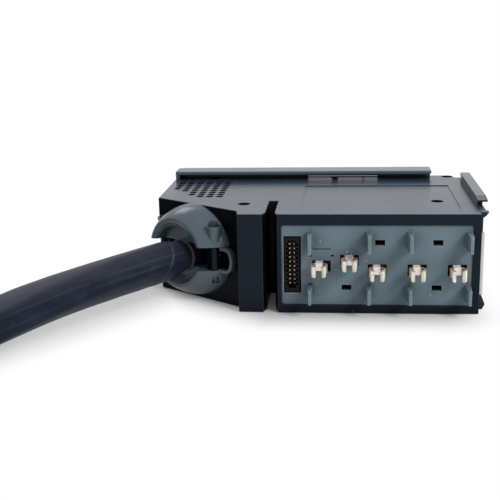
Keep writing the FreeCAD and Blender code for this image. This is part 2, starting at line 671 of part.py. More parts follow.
def front_bezel():
    """Front frame with the breaker window, the overhanging lip and a closed left end."""
    right = LEFT + BEZEL_LENGTH
    near_edge = FRONT - LIP_REACH
    far_edge = FRONT + BEZEL_THICKNESS
    plate = rounded_box(LEFT, right, FRONT, far_edge, 0, LIP_TOP, BEZEL_CORNER, V(0, 1, 0))
    lip = box(LEFT, right, near_edge, far_edge, LIP_BOTTOM, LIP_TOP)
    ends = [edge for edge in lip.Edges
            if edge.BoundBox.ZLength > 1 and edge.CenterOfMass.y < FRONT]
    lip = lip.makeFillet(BEZEL_CORNER, ends)
    near = [edge for edge in lip.Edges
            if edge.BoundBox.ZMin > LIP_TOP - 1e-6 and edge.CenterOfMass.y < FRONT]
    lip = lip.makeFillet(LIP_ROUND, near)
    wall = box(LEFT, LEFT + BEZEL_END_WALL, near_edge + BEZEL_CORNER, FRONT + BEZEL_THICKNESS / 2,
               BODY_HEIGHT, LIP_TOP - LIP_ROUND)
    centre = V(LEFT + BEZEL_CORNER, near_edge + BEZEL_CORNER, BODY_HEIGHT)
    rise = LIP_GAP + LIP_THICKNESS / 2
    turn = rod(centre, BEZEL_CORNER, rise).cut(rod(centre, BEZEL_CORNER - BEZEL_END_WALL, rise))
    turn = turn.common(box(LEFT, LEFT + BEZEL_CORNER, near_edge, near_edge + BEZEL_CORNER,
                           BODY_HEIGHT, BODY_HEIGHT + rise))
    frame = join([plate, lip, wall, turn])
    frame = frame.cut(far_corner_waste(LEFT, far_edge))
    window = box(BREAKER_CENTRE - NOSE_LENGTH / 2 - BEZEL_WINDOW_PLAY,
                 BREAKER_CENTRE + NOSE_LENGTH / 2 + BEZEL_WINDOW_PLAY,
                 FRONT - BEZEL_THICKNESS, FRONT + 2 * BEZEL_THICKNESS, BEZEL_SILL, BODY_HEIGHT)
    slit = box(BREAKER_CENTRE - NOSE_LENGTH / 2 - BEZEL_WINDOW_PLAY,
               BREAKER_CENTRE + NOSE_LENGTH / 2 + BEZEL_WINDOW_PLAY,
               FRONT - BEZEL_THICKNESS, FRONT + 2 * BEZEL_THICKNESS, BODY_HEIGHT + SLIT_SILL, LIP_BOTTOM)
    frame = frame.cut(Part.makeCompound([window, slit]))
    ribs = []
    for position, width in zip(RIB_POSITIONS, RIB_WIDTHS):
        centre = BREAKER_CENTRE + position
        ribs.append(box(centre - width / 2, centre + width / 2, FRONT, FRONT + BEZEL_THICKNESS,
                        BODY_HEIGHT, LIP_BOTTOM + LIP_THICKNESS / 2))
    lugs = []
    for x in FRONT_LUGS:
        lug = front_lug(x)
        root = box(x - LUG_WIDTH / 2, x + LUG_WIDTH / 2, FRONT - WALL, FRONT + BEZEL_THICKNESS / 2,
                   PARTING - LUG_HEIGHT / 2, PARTING + LUG_HEIGHT / 2)
        lugs += [lug, root]
    return join([frame] + ribs + lugs)


def end_guide():
    """Channel on the right end with a top flange, a wedge below and rounded lead-in noses."""
    top = BODY_HEIGHT
    wedge_top = GUIDE_BOTTOM + GUIDE_WEDGE_HEIGHT
    section = [
        (0, GUIDE_BOTTOM),
        (GUIDE_WEDGE_REACH - GUIDE_WEDGE_LEAD, GUIDE_BOTTOM),
        (GUIDE_WEDGE_REACH, GUIDE_BOTTOM + GUIDE_WEDGE_RISE),
        (GUIDE_WEB, wedge_top),
        (GUIDE_WEB, top - GUIDE_FLANGE_HEIGHT - GUIDE_WEB),
        (GUIDE_FLANGE, top - GUIDE_FLANGE_HEIGHT),
        (GUIDE_FLANGE, top),
        (0, top),
    ]
    start = REAR + GUIDE_START
    length = FRONT - EAR_STEP_DEPTH - start
    channel = polygon_face([(RIGHT + x, start, z) for x, z in section]).extrude(V(0, length, 0))
    corner = V(RIGHT, start, top)
    tip = V(RIGHT + NOSE_REACH, start, top)
    belly = V(RIGHT + NOSE_REACH * 0.74, start, top - GUIDE_FLANGE_HEIGHT * 0.8)
    foot = V(RIGHT, start, top - GUIDE_FLANGE_HEIGHT - GUIDE_WEB)
    edges = [
        Part.LineSegment(corner, tip).toShape(),
        Part.Arc(tip, belly, foot).toShape(),
        Part.LineSegment(foot, corner).toShape(),
    ]
    nose = Part.Face(Part.Wire(edges)).extrude(V(0, NOSE_DEPTH, 0))
    lugs = []
    for y in END_LUGS:
        root = box(RIGHT - WALL, RIGHT + GUIDE_WEB / 2, y - LUG_WIDTH / 2, y + LUG_WIDTH / 2,
                   PARTING - LUG_HEIGHT / 2, PARTING + LUG_HEIGHT / 2)
        lugs += [end_lug(y), root]
    return join([channel, nose] + lugs)


def guide_rails():
    """Web and overhanging flange of the rail on top of the end guide."""
    start = REAR + RAIL_START
    end = start + RAIL_LENGTH
    web_left = RIGHT + RAIL_WEB_INSET
    web_top = BODY_HEIGHT + RAIL_WEB_HEIGHT
    web = box(web_left, web_left + RAIL_WEB_WIDTH, start, end, BODY_HEIGHT, web_top)
    left = RIGHT + RAIL_FLANGE_INSET
    top = web_top + RAIL_FLANGE_HEIGHT
    profile = [
        (start - RAIL_OVERHANG, web_top),
        (end, web_top),
        (end, top),
        (start - RAIL_OVERHANG + RAIL_RAMP, top),
        (start - RAIL_OVERHANG, top - RAIL_RAMP_DROP),
    ]
    flange = polygon_face([(left, y, z) for y, z in profile]).extrude(V(RAIL_FLANGE_WIDTH, 0, 0))
    return web, flange


def end_pad():
    """Pale slide pad ahead of the end guide."""
    return rounded_box(RIGHT, RIGHT + PAD_THICKNESS, REAR + PAD_START, REAR + GUIDE_START,
                       PAD_BOTTOM, PAD_BOTTOM + PAD_HEIGHT, PAD_THICKNESS / 2, V(1, 0, 0))


def fin(contact, upper):
    """One barrier fin of the panel, standing out towards the busbars."""
    x = CONTACT_X[contact] + FIN_OFFSETS[contact]
    extra = NEUTRAL_FIN_EXTRA if contact == "neutral" else 0
    if upper:
        high = PANEL_TOP - UPPER_FIN_MARGIN
        low = high - UPPER_FIN_LENGTH - extra
    else:
        low = PANEL_BOTTOM + LOWER_FIN_MARGIN - extra / 2
        high = low + LOWER_FIN_LENGTH
    back = PANEL_FACE + PANEL_RECESS
    plan = [
        (x - FIN_ROOT / 2, back),
        (x - FIN_ROOT / 2, PANEL_FACE),
        (x - FIN_THICKNESS / 2, REAR - FIN_REACH),
        (x + FIN_THICKNESS / 2, REAR - FIN_REACH),
        (x + FIN_ROOT / 2, PANEL_FACE),
        (x + FIN_ROOT / 2, back),
    ]
    return prism(plan, low, high)


def insert_plate(grow):
    """T-shaped plate round the neutral contact, grown for its pocket."""
    x = CONTACT_X["neutral"]
    z = CONTACT_Z["neutral"]
    back = PANEL_FACE + INSERT_THICKNESS
    lower = box(x - INSERT_WIDTH / 2 - grow, x + INSERT_WIDTH / 2 + grow, PANEL_FACE, back,
                z - INSERT_DROP - grow, z + INSERT_RISE + grow)
    neck = box(x - INSERT_NECK_WIDTH / 2 - grow, x + INSERT_NECK_WIDTH / 2 + grow, PANEL_FACE, back,
               z + INSERT_RISE - 1, z + INSERT_RISE + INSERT_NECK_HEIGHT + (grow or -INSERT_TOP_GAP))
    return join([lower, neck])


def insert_notches():
    """Square openings beside the insert's neck, above its shoulders."""
    shoulder = CONTACT_Z["neutral"] + INSERT_RISE
    notches = []
    for side in (1, -1):
        outer = CONTACT_X["neutral"] + side * (INSERT_WIDTH / 2 - NOTCH_INSET)
        inner = outer - side * NOTCH_WIDTH
        notches.append(box(min(outer, inner), max(outer, inner), PANEL_FACE - 1, PANEL_BACK + 1,
                           shoulder, shoulder + NOTCH_HEIGHT))
    return notches


def contact_window(contact):
    """Opening in the panel for one busbar jaw."""
    x = CONTACT_X[contact]
    z = CONTACT_Z[contact]
    half = WINDOW_WIDTH / 2
    return box(x - half, x + half, REAR - FIN_REACH, PANEL_BACK + WALL,
               z - JAW_HEIGHT / 2 - SEAT_PLAY, z + JAW_HEIGHT / 2 + SEAT_PLAY)


def signal_window():
    """Sides, bottom and top of the panel's opening for the signal connector."""
    left = PANEL_LEFT + SIGNAL_INSET
    middle = (PANEL_BOTTOM + PANEL_TOP) / 2 + SIGNAL_RISE
    half = SIGNAL_WINDOW_HEIGHT / 2
    return (left, left + SIGNAL_WINDOW_WIDTH, middle - half, middle + half)


def signal_box():
    """Corners of the signal connector's body, which stands clear of its opening."""
    x0, x1, z0, z1 = signal_window()
    return (x0 + SIGNAL_SIDE_GAP, x1 - 2 * SIGNAL_SIDE_GAP, REAR + SIGNAL_FRONT, REAR + BOARD_FRONT,
            z0 + SIGNAL_SIDE_GAP, z1 - 2 * SIGNAL_SIDE_GAP)


def connector_panel():
    """Grey panel with windows, barrier fins, snap openings and board standoffs."""
    face = rounded_box(PANEL_LEFT, PANEL_RIGHT, PANEL_FACE, REAR + WALL + PANEL_FLANGE / 2,
                       PANEL_BOTTOM, PANEL_TOP, PANEL_CORNER, V(0, 1, 0))
    flange = box(PANEL_LEFT, PANEL_RIGHT, REAR + WALL, PANEL_BACK,
                 PANEL_BOTTOM - PANEL_FLANGE_REACH, PANEL_TOP + PANEL_FLANGE_REACH)
    standoffs = []
    for x in (PANEL_LEFT + STANDOFF_INSET, PANEL_RIGHT - STANDOFF_RIGHT_INSET):
        for z in (PANEL_BOTTOM + STANDOFF_EDGE, PANEL_TOP - STANDOFF_EDGE):
            reach = REAR + BOARD_FRONT - PANEL_BACK + 1
            standoffs.append(rod(V(x, PANEL_BACK - 1, z), STANDOFF_RADIUS, reach, V(0, 1, 0)))
    panel = join([face, flange] + standoffs)
    x0, x1, z0, z1 = signal_window()
    cutters = [contact_window(contact) for contact in CONTACT_X] + insert_notches()
    cutters.append(box(x0, x1, REAR - WALL, PANEL_BACK + WALL, z0, z1))
    cutters.append(insert_plate(FIT).cut(fin("neutral", False)))
    for contact, shift in SNAPS_ABOVE.items():
        cutters.append(snap_opening(CONTACT_X[contact] + shift, PANEL_TOP - SNAP_TOP_MARGIN))
    for contact, shift in SNAPS_BELOW.items():
        cutters.append(snap_opening(CONTACT_X[contact] + shift, PANEL_BOTTOM + SNAP_BOTTOM_MARGIN))
    panel = panel.cut(Part.makeCompound(cutters))
    fins = [fin(contact, upper) for contact in FIN_OFFSETS for upper in (True, False)]
    return join([panel] + fins)


def snap_opening(x, z):
    """Small rectangular snap opening through the panel."""
    return box(x - SNAP_LENGTH / 2, x + SNAP_LENGTH / 2, PANEL_FACE - 1, PANEL_BACK + 1,
               z - SNAP_HEIGHT / 2, z + SNAP_HEIGHT / 2)


def contact_insert():
    """T-shaped plate with the neutral contact's window."""
    x = CONTACT_X["neutral"] + FIN_OFFSETS["neutral"] + FIN_ROOT / 2 + FIT
    low = PANEL_BOTTOM + LOWER_FIN_MARGIN + LOWER_FIN_LENGTH + FIT
    beside_fin = box(x - 2 * FIN_ROOT, x, REAR - WALL, PANEL_BACK, 0, low)
    return insert_plate(0.0).cut(contact_window("neutral")).cut(beside_fin)


def busbar_jaw(contact):
    """Sheet-metal jaw: bellied arms, pinched mouth, flared lips, and a plate and tail to the wiring."""
    arm = [
        (JAW_BASE_WIDTH / 2, -JAW_BASE_REACH),
        (JAW_BELLY / 2, -JAW_BELLY_BACK),
        (JAW_BELLY / 2, -JAW_BELLY_FRONT),
        (JAW_PINCH / 2, -JAW_PINCH_REACH),
        (JAW_LIP / 2, -JAW_REACH),
    ]
    middle_line = [(-x, y) for x, y in reversed(arm)] + arm
    top = JAW_HEIGHT / 2
    jaw = strip_face(middle_line, JAW_SHEET, JAW_BEND).extrude(UP * JAW_HEIGHT)
    jaw.translate(V(0, 0, -top))
    corners = [edge for edge in jaw.Edges
               if abs(edge.Length - JAW_SHEET) < 1e-3 and edge.CenterOfMass.y < -JAW_PINCH_REACH]
    jaw = jaw.makeFillet(JAW_LIP_ROUND, corners)
    jaw = jaw.cut(box(-JAW_BELLY, JAW_BELLY, JAW_SHEET - JAW_PINCH_REACH, 0, -JAW_HEIGHT, JAW_UNDERCUT - top))
    plate_back = JAW_PLATE_START + JAW_PLATE_THICKNESS
    neck = box(-JAW_NECK_WIDTH / 2, JAW_NECK_WIDTH / 2, -JAW_BASE_REACH, plate_back,
               -JAW_NECK_HEIGHT / 2, JAW_NECK_HEIGHT / 2)
    plate = box(-JAW_PLATE_WIDTH / 2, JAW_PLATE_WIDTH / 2, JAW_PLATE_START, plate_back, -top, top)
    pieces = [jaw, neck, plate]
    if contact == "earth":
        tab, above = earth_tab()
        pieces = [jaw.cut(above), neck, plate, tab]
    solid = join(pieces)
    solid.translate(V(JAW_SHIFTS[contact], 0, 0))
    tail = box(-JAW_SHEET / 2, JAW_SHEET / 2, JAW_PLATE_START, TAIL_END, -TAIL_HEIGHT / 2, TAIL_HEIGHT / 2)
    solid = join([solid, tail])
    solid.translate(V(CONTACT_X[contact], REAR, CONTACT_Z[contact]))
    return solid


def earth_tab():
    """Tapered tab that slopes down over the earth jaw's base, and the space above it."""
    back = JAW_PLATE_START + JAW_PLATE_THICKNESS / 2
    top = JAW_HEIGHT / 2
    corners = [
        (-EARTH_TAB_WIDTH / 2, back, top),
        (EARTH_TAB_WIDTH / 2, back, top),
        (EARTH_TAB_TIP / 2, -EARTH_TAB_REACH, top - EARTH_TAB_DROP),
        (-EARTH_TAB_TIP / 2, -EARTH_TAB_REACH, top - EARTH_TAB_DROP),
    ]
    plane = polygon_face(corners)
    return plane.extrude(V(0, 0, -JAW_SHEET)), plane.extrude(V(0, 0, JAW_HEIGHT))


def signal_rows():
    """Heights of the signal contacts' rows."""
    x0, x1, z0, z1 = signal_window()
    middle = (z0 + z1) / 2
    return [middle + (row - (SIGNAL_ROWS - 1) / 2) * SIGNAL_PITCH for row in range(SIGNAL_ROWS)]


def signal_connector():
    """Black socket with a notched slot."""
    x0, x1, y0, y1, z0, z1 = signal_box()
    middle = (x0 + x1) / 2
    span = SIGNAL_ROWS * SIGNAL_PITCH / 2 + SIGNAL_PITCH / 2
    centre = sum(signal_rows()) / SIGNAL_ROWS
    half = SIGNAL_SLOT_WIDTH / 2
    floor = y0 + SIGNAL_SLOT_DEPTH
    cutters = [box(middle - half, middle + half, y0 - 1, floor, centre - span, centre + span)]
    for z in signal_rows():
        cutters.append(box(middle - half - SIGNAL_NOTCH_REACH, middle + half + SIGNAL_NOTCH_REACH,
                           y0 - 1, y0 + SIGNAL_SLOT_DEPTH,
                           z - SIGNAL_NOTCH_HEIGHT / 2, z + SIGNAL_NOTCH_HEIGHT / 2))
    return box(x0, x1, y0, y1, z0, z1).cut(Part.makeCompound(cutters))


def signal_contacts():
    """Two columns of bowed spring blades in the notches."""
    x0, x1, y0, y1, z0, z1 = signal_box()
    middle = (x0 + x1) / 2
    notch = SIGNAL_SLOT_WIDTH / 2 + SIGNAL_NOTCH_REACH - BLADE_SHEET
    line = [
        (notch, SIGNAL_SLOT_DEPTH),
        (notch, SIGNAL_SLOT_DEPTH * 0.6),
        (BLADE_GAP / 2, SIGNAL_SLOT_DEPTH * 0.28),
        (BLADE_GAP / 2 + 0.9, SIGNAL_SLOT_DEPTH * 0.1),
    ]
    blades = []
    for z in signal_rows():
        for side in (1, -1):
            face = strip_face([(side * x, y) for x, y in line], BLADE_SHEET, BLADE_SHEET)
            blade = face.extrude(UP * BLADE_HEIGHT)
            blade.translate(V(middle, y0, z - BLADE_HEIGHT / 2))
            blades.append(blade)
    return group(blades)


def sensor_board():
    """Board behind the panel with a slot for each jaw's tail."""
    board = box(PANEL_LEFT + BOARD_MARGIN, PANEL_RIGHT - BOARD_MARGIN, REAR + BOARD_FRONT, REAR + BOARD_BACK,
                PANEL_BOTTOM + BOARD_MARGIN, PANEL_TOP - BOARD_MARGIN)
    slots = []
    for contact in CONTACT_X:
        x = CONTACT_X[contact]
        z = CONTACT_Z[contact]
        slots.append(box(x - JAW_SHEET / 2 - FIT, x + JAW_SHEET / 2 + FIT, REAR + BOARD_FRONT - 1,
                         REAR + BOARD_BACK + 1, z - TAIL_HEIGHT / 2 - FIT, z + TAIL_HEIGHT / 2 + FIT))
    return board.cut(Part.makeCompound(slots))


def current_transformers():
    """Ring on each line's tail, seated on the board."""
    rings = []
    for contact in LINES:
        start = V(CONTACT_X[contact], REAR + BOARD_BACK, CONTACT_Z[contact])
        ring = rod(start, SENSOR_RADIUS, SENSOR_LENGTH, V(0, 1, 0))
        rings.append(ring.cut(rod(start, SENSOR_BORE, SENSOR_LENGTH, V(0, 1, 0))))
    return group(rings)


def clamp_dome():
    """Outside of the clamp before it is parted, leaning towards its opening, in the clamp's own axes."""
    rim_front = CLAMP_CREST - CLAMP_RIM_DEPTH
    foot = V(0, 0, CLAMP_RADIUS)
    shoulder_radius = CLAMP_CREST_RADIUS + CLAMP_DOME_FALL * CLAMP_SHOULDER_BULGE
    shoulder = V(CLAMP_CREST * CLAMP_SHOULDER_REACH, 0, shoulder_radius)
    crest = V(CLAMP_CREST, 0, CLAMP_CREST_RADIUS)
    roll = V(CLAMP_CREST + 0.3, 0, (CLAMP_CREST_RADIUS + CLAMP_RIM_RADIUS) / 2)
    rim = V(rim_front, 0, CLAMP_RIM_RADIUS)
    edges = [
        Part.Arc(foot, shoulder, crest).toShape(),
        Part.Arc(crest, roll, rim).toShape(),
        Part.LineSegment(rim, V(rim_front, 0, 0)).toShape(),
        Part.LineSegment(V(rim_front, 0, 0), V(0, 0, 0)).toShape(),
        Part.LineSegment(V(0, 0, 0), foot).toShape(),
    ]
    dome = Part.Face(Part.Wire(edges)).revolve(V(0, 0, 0), V(1, 0, 0), 360)
    lean = FreeCAD.Matrix()
    lean.A21 = -CLAMP_LEAN / CLAMP_CREST
    lean.A24 = CLAMP_LEAN
    dome = dome.transformGeometry(lean)
    dome.translate(V(0, 0, PARTING + CLAMP_RISE))
    return dome


def clamp_hollow():
    """Drafted cup round the cable and the bore that grips it, in the clamp's own axes."""
    rim_front = CLAMP_CREST - CLAMP_RIM_DEPTH
    slope = CLAMP_CUP_DRAFT / CLAMP_CUP_DEPTH
    profile = [
        (CLAMP_CUP_FLOOR, 0, 0),
        (CLAMP_CUP_FLOOR, 0, CLAMP_RIM_RADIUS - CLAMP_CUP_DRAFT),
        (rim_front + CLAMP_CREST, 0, CLAMP_RIM_RADIUS + slope * CLAMP_CREST),
        (rim_front + CLAMP_CREST, 0, 0),
    ]
    cup = polygon_face(profile).revolve(V(0, 0, 0), V(1, 0, 0), 360)
    cup.translate(V(0, 0, PARTING))
    bore = rod(V(-1, 0, CABLE_HEIGHT), CABLE_NECK_RADIUS + FIT, CLAMP_CREST, V(1, 0, 0))
    return [cup, bore]


def clamp_halves():
    """Upper half with screw wells, lower half with the strap that links the two."""
    size = 2 * CLAMP_RADIUS
    dome = clamp_dome()
    upper = largest_solid(dome.common(box(-size, size, -size, size, CLAMP_TOP, CLAMP_TOP + size)))
    lower = largest_solid(dome.common(box(-size, size, -size, size, CLAMP_BOTTOM - size, CLAMP_BOTTOM)))
    bosses = []
    upper_cuts = clamp_hollow()
    lower_cuts = clamp_hollow()
    for along in CLAMP_SCREW_OFFSETS:
        foot = V(CLAMP_SCREW_STANDOFF, along, CLAMP_TOP)
        bosses.append(Part.makeCone(CLAMP_BOSS_FOOT_RADIUS, CLAMP_BOSS_RADIUS, CLAMP_BOSS_HEIGHT, foot, UP))
        upper_cuts.append(rod(foot + UP * CLAMP_SEAT_HEIGHT, CLAMP_WELL_RADIUS, CLAMP_RADIUS))
        upper_cuts.append(rod(foot - UP, CLAMP_SCREW_RADIUS + SCREW_PLAY, CLAMP_RADIUS))
        low = V(CLAMP_SCREW_STANDOFF, along, CLAMP_BOTTOM - CLAMP_SCREW_GRIP - CLAMP_TIP_ROOM)
        lower_cuts.append(rod(low, CLAMP_SCREW_RADIUS + SCREW_PLAY, CLAMP_RADIUS))
    upper = upper.multiFuse(bosses)
    for cut in upper_cuts:
        upper = upper.cut(cut)
    lower = lower.fuse(clamp_strap())
    for cut in lower_cuts:
        lower = lower.cut(cut)
    return clamp_place(largest_solid(upper)), clamp_place(largest_solid(lower))


def clamp_strap():
    """Thin bent strap from the lower half, round the outside of the gap, up under the upper half."""
    half = STRAP_THICKNESS / 2
    low = CLAMP_BOTTOM
    high = CLAMP_TOP - half
    line = [
        (CLAMP_SCREW_OFFSETS[0] + CLAMP_POST_RADIUS + FIT, low),
        (STRAP_OFFSET + STRAP_BULGE - 1, low),
        (STRAP_OFFSET + STRAP_BULGE, (low + high) / 2),
        (STRAP_OFFSET + STRAP_BULGE - 1, high),
        (STRAP_OFFSET, high),
    ]
    strap = strip_face(line, STRAP_THICKNESS, CLAMP_GAP / 3).extrude(UP * STRAP_WIDTH)
    strap.rotate(V(0, 0, 0), V(1, 1, 1), 120)
    strap.translate(V(STRAP_START, 0, 0))
    return strap


def clamp_screws():
    """Two screws that draw the halves down on the posts."""
    screws = []
    seat = CLAMP_TOP + CLAMP_SEAT_HEIGHT
    end = CLAMP_BOTTOM - CLAMP_SCREW_GRIP
    for along in CLAMP_SCREW_OFFSETS:
        head = rod(V(CLAMP_SCREW_STANDOFF, along, seat), CLAMP_HEAD_RADIUS, CLAMP_HEAD_HEIGHT)
        shank = rod(V(CLAMP_SCREW_STANDOFF, along, end), CLAMP_SCREW_RADIUS, seat - end + 0.5)
        screws.append(clamp_place(join([head, shank])))
    return group(screws)


def entry_ring():
    """Thin ring round the cable where it enters the clamp."""
    start = V(CLAMP_CUP_FLOOR, 0, CABLE_HEIGHT)
    outer = rod(start, CABLE_NECK_RADIUS + POLE_PLAY + RING_THICKNESS, RING_WIDTH, V(1, 0, 0))
    return clamp_place(outer.cut(rod(start, CABLE_NECK_RADIUS + POLE_PLAY, RING_WIDTH, V(1, 0, 0))))


def cable_lead():
    """Cable from the clamp, drawn in where the clamp grips it, to the start of its coil."""
    full = CABLE_NECK_REACH + CABLE_NECK_TAPER
    neck = rod(CABLE_END, CABLE_NECK_RADIUS, CABLE_INSIDE + CABLE_NECK_REACH, OUTWARD)
    taper = Part.makeCone(CABLE_NECK_RADIUS, CABLE_RADIUS, CABLE_NECK_TAPER,
                          CABLE_FOOT + OUTWARD * CABLE_NECK_REACH, OUTWARD)
    run = tube([CABLE_FOOT + OUTWARD * full] + CABLE_ROUTE[1:], CABLE_RADIUS)
    return join([neck, taper, run])


def mounting_rail():
    """Top-hat rail between the shells, its flanges against the breaker's back."""
    half = RAIL_WIDTH / 2
    hat = RAIL_HAT_WIDTH / 2
    line = [
        (-half, -RAIL_THICKNESS / 2),
        (-hat + RAIL_THICKNESS / 2, -RAIL_THICKNESS / 2),
        (-hat + RAIL_THICKNESS / 2, -RAIL_DEPTH + RAIL_THICKNESS / 2),
        (hat - RAIL_THICKNESS / 2, -RAIL_DEPTH + RAIL_THICKNESS / 2),
        (hat - RAIL_THICKNESS / 2, -RAIL_THICKNESS / 2),
        (half, -RAIL_THICKNESS / 2),
    ]
    rail = strip_face(line, RAIL_THICKNESS, RAIL_THICKNESS).extrude(UP * (BODY_HEIGHT - 2 * WALL))
    rail.translate(V(BREAKER_CENTRE, BREAKER_BACK, WALL))
    return rail


def pole_bottom(index):
    """Lower face of one pole of the breaker."""
    return WALL + POLE_PLAY + index * POLE_WIDTH


def pole_middle(index):
    """Mid height of one pole of the breaker."""
    return pole_bottom(index) + POLE_WIDTH / 2


def breaker_pole(index):
    """One pole: stepped case with wire pockets at both ends and the handle's pocket in its nose."""
    shoulder = BREAKER_BACK + SHOULDER_DEPTH
    nose_left = BREAKER_CENTRE - NOSE_LENGTH / 2
    nose_right = BREAKER_CENTRE + NOSE_LENGTH / 2
    outline = [
        (BREAKER_LEFT, BREAKER_BACK),
        (BREAKER_RIGHT, BREAKER_BACK),
        (BREAKER_RIGHT, shoulder),
        (nose_right, shoulder),
        (nose_right, NOSE_FRONT - NOSE_TAPER),
        (nose_right - NOSE_TAPER, NOSE_FRONT),
        (nose_left + NOSE_TAPER, NOSE_FRONT),
        (nose_left, NOSE_FRONT - NOSE_TAPER),
        (nose_left, shoulder),
        (BREAKER_LEFT, shoulder),
    ]
    low = pole_bottom(index)
    middle = pole_middle(index)
    case = prism(outline, low, low + POLE_WIDTH)
    width = HUB_WIDTH + 2 * POCKET_PLAY
    hub = V(BREAKER_CENTRE, HANDLE_Y, middle - width / 2)
    cutters = [
        rod(hub, HUB_RADIUS + POCKET_PLAY, width),
        box(BREAKER_CENTRE - MOUTH_LENGTH / 2, BREAKER_CENTRE + MOUTH_LENGTH / 2,
            NOSE_FRONT - MOUTH_DEPTH, NOSE_FRONT + MOUTH_DEPTH, middle - width / 2, middle + width / 2),
        rod(V(BREAKER_CENTRE, HANDLE_Y, low - 1), PIN_RADIUS + PIN_PLAY / 2, POLE_WIDTH + 2),
        rod(V(BREAKER_LEFT, TERMINAL_Y, middle), WIRE_RADIUS + SEAT_PLAY, TERMINAL_POCKET, V(1, 0, 0)),
        rod(V(BREAKER_RIGHT, TERMINAL_Y, middle), WIRE_RADIUS + SEAT_PLAY, TERMINAL_POCKET, V(-1, 0, 0)),
    ]
    return case.cut(Part.makeCompound(cutters))


def breaker_handle():
    """Ganged handle: a hub and arm in each pole and one tie bar, turned to the off side."""
    pieces = []
    for index in range(POLE_COUNT):
        low = pole_middle(index) - HUB_WIDTH / 2
        pieces.append(rod(V(0, 0, low), HUB_RADIUS, HUB_WIDTH))
        pieces.append(box(-ARM_THICKNESS / 2, ARM_THICKNESS / 2, 0, ARM_REACH - 1, low, low + HUB_WIDTH))
    first = pole_middle(0) - HUB_WIDTH / 2
    last = pole_middle(POLE_COUNT - 1) + HUB_WIDTH / 2
    half = TIE_BAR_THICKNESS / 2
    low = ARM_REACH - TIE_BAR_DEPTH
    pieces.append(rounded_box(-half, half, low, ARM_REACH, first, last, TIE_BAR_DEPTH / 3, UP))
    handle = join(pieces)
    handle = handle.cut(rod(V(0, 0, -1), PIN_RADIUS + PIN_PLAY, BODY_HEIGHT + 2))
    handle.rotate(V(0, 0, 0), UP, HANDLE_TILT)
    handle.translate(V(BREAKER_CENTRE, HANDLE_Y, 0))
    return handle


def handle_pin():
    """Pin through the three poles that the handle turns on."""
    start = V(BREAKER_CENTRE, HANDLE_Y, pole_bottom(0))
    return rod(start, PIN_RADIUS, POLE_COUNT * POLE_WIDTH)


def core_place(angle):
    """Centre of one core on the cable's inner end, and the point where its wire bends away."""
    turn = math.radians(angle)
    start = CABLE_END + ALONG * (CORE_CIRCLE * math.cos(turn)) + UP * (CORE_CIRCLE * math.sin(turn))
    return start, start - OUTWARD * WIRE_LEAD


def wire(points):
    """One insulated wire."""
    return tube(points, WIRE_RADIUS, WIRE_BEND)


def line_wires():
    """Wires from the line jaws to the breaker's right terminals."""
    start = REAR + TAIL_END
    inside = BREAKER_RIGHT - TERMINAL_POCKET
    behind = BREAKER_BACK
    bay = RIGHT - WALL
    routes = {
        "line_1": [(0, start + 11.5, 0), (14.3, behind - 5.5, 18.8)],
        "line_2": [(0, behind - 4.5, 0)],
        "line_3": [(0, start + 11.5, 0)],
    }
    bends = {
        "line_1": [(bay - 13.6, behind + 1.0), (bay - 5.6, behind + 13.0), (bay - 5.6, TERMINAL_Y)],
        "line_2": [(bay - 7.6, behind + 4.0), (bay - 7.6, TERMINAL_Y)],
        "line_3": [(CONTACT_X["line_3"], behind + 13.0), (CONTACT_X["line_3"], TERMINAL_Y)],
    }
    wires = []
    for contact, index in zip(LINES, (2, 1, 0)):
        x = CONTACT_X[contact]
        z = CONTACT_Z[contact]
        height = pole_middle(index)
        points = [V(x, start, z)]
        points += [V(x + dx, y, z + dz) for dx, y, dz in routes[contact]]
        points += [V(px, py, height) for px, py in bends[contact]]
        points.append(V(inside, TERMINAL_Y, height))
        wires.append(wire(points))
    return group(wires)


def load_wires():
    """Wires from the breaker's left terminals to the cable."""
    wires = []
    for index, angle in ((2, 90), (1, 162), (0, 234)):
        height = pole_middle(index)
        end, bend = core_place(angle)
        points = [V(BREAKER_LEFT + TERMINAL_POCKET, TERMINAL_Y, height)]
        points.append(V(BREAKER_LEFT - 14.0, TERMINAL_Y, height))
        points += [bend, end]
        wires.append(wire(points))
    return group(wires)


def return_wire(contact, angle, height):
    """Neutral or earth wire from its jaw past the guide slot to the cable."""
    x = CONTACT_X[contact]
    z = CONTACT_Z[contact]
    start = REAR + TAIL_END
    past_slot = BREAKER_BACK - 2 * WIRE_RADIUS - 1.6
    end, bend = core_place(angle)
    points = [V(x, start, z), V(x, start + 8.5, z)]
    if height > z:
        points.append(V(CONTACT_X["neutral"] - 1.7, start + 12.5, height))
    points.append(V(SLOT_RIGHT + 8.4, past_slot, height))
    points.append(V(SLOT_LEFT - 7.5, past_slot + 0.8, height - 1.0))
    points += [bend, end]
    return wire(points)


def coil_section(grow, layers):
    """Rounded block with the section of the stacked turns, centred on the coil's radius."""
    reach = CABLE_RADIUS + grow
    low = COIL_LIFT - grow
    high = COIL_LIFT + 2 * layers * CABLE_RADIUS + grow
    return rounded_box(-reach, reach, -TIE_WIDTH / 2, TIE_WIDTH / 2, low, high, reach * 0.9, V(0, 1, 0))


def coil_sector(layers, start, sweep):
    """Part of the coil with one or two turns on each other, clockwise from a start angle."""
    block = coil_section(0, layers)
    section = min(block.Faces, key=lambda face: face.CenterOfMass.y)
    section.translate(V(COIL_RADIUS, TIE_WIDTH / 2, 0))
    sector = section.revolve(V(0, 0, 0), UP, -sweep)
    sector.rotate(V(0, 0, 0), UP, start)
    return sector


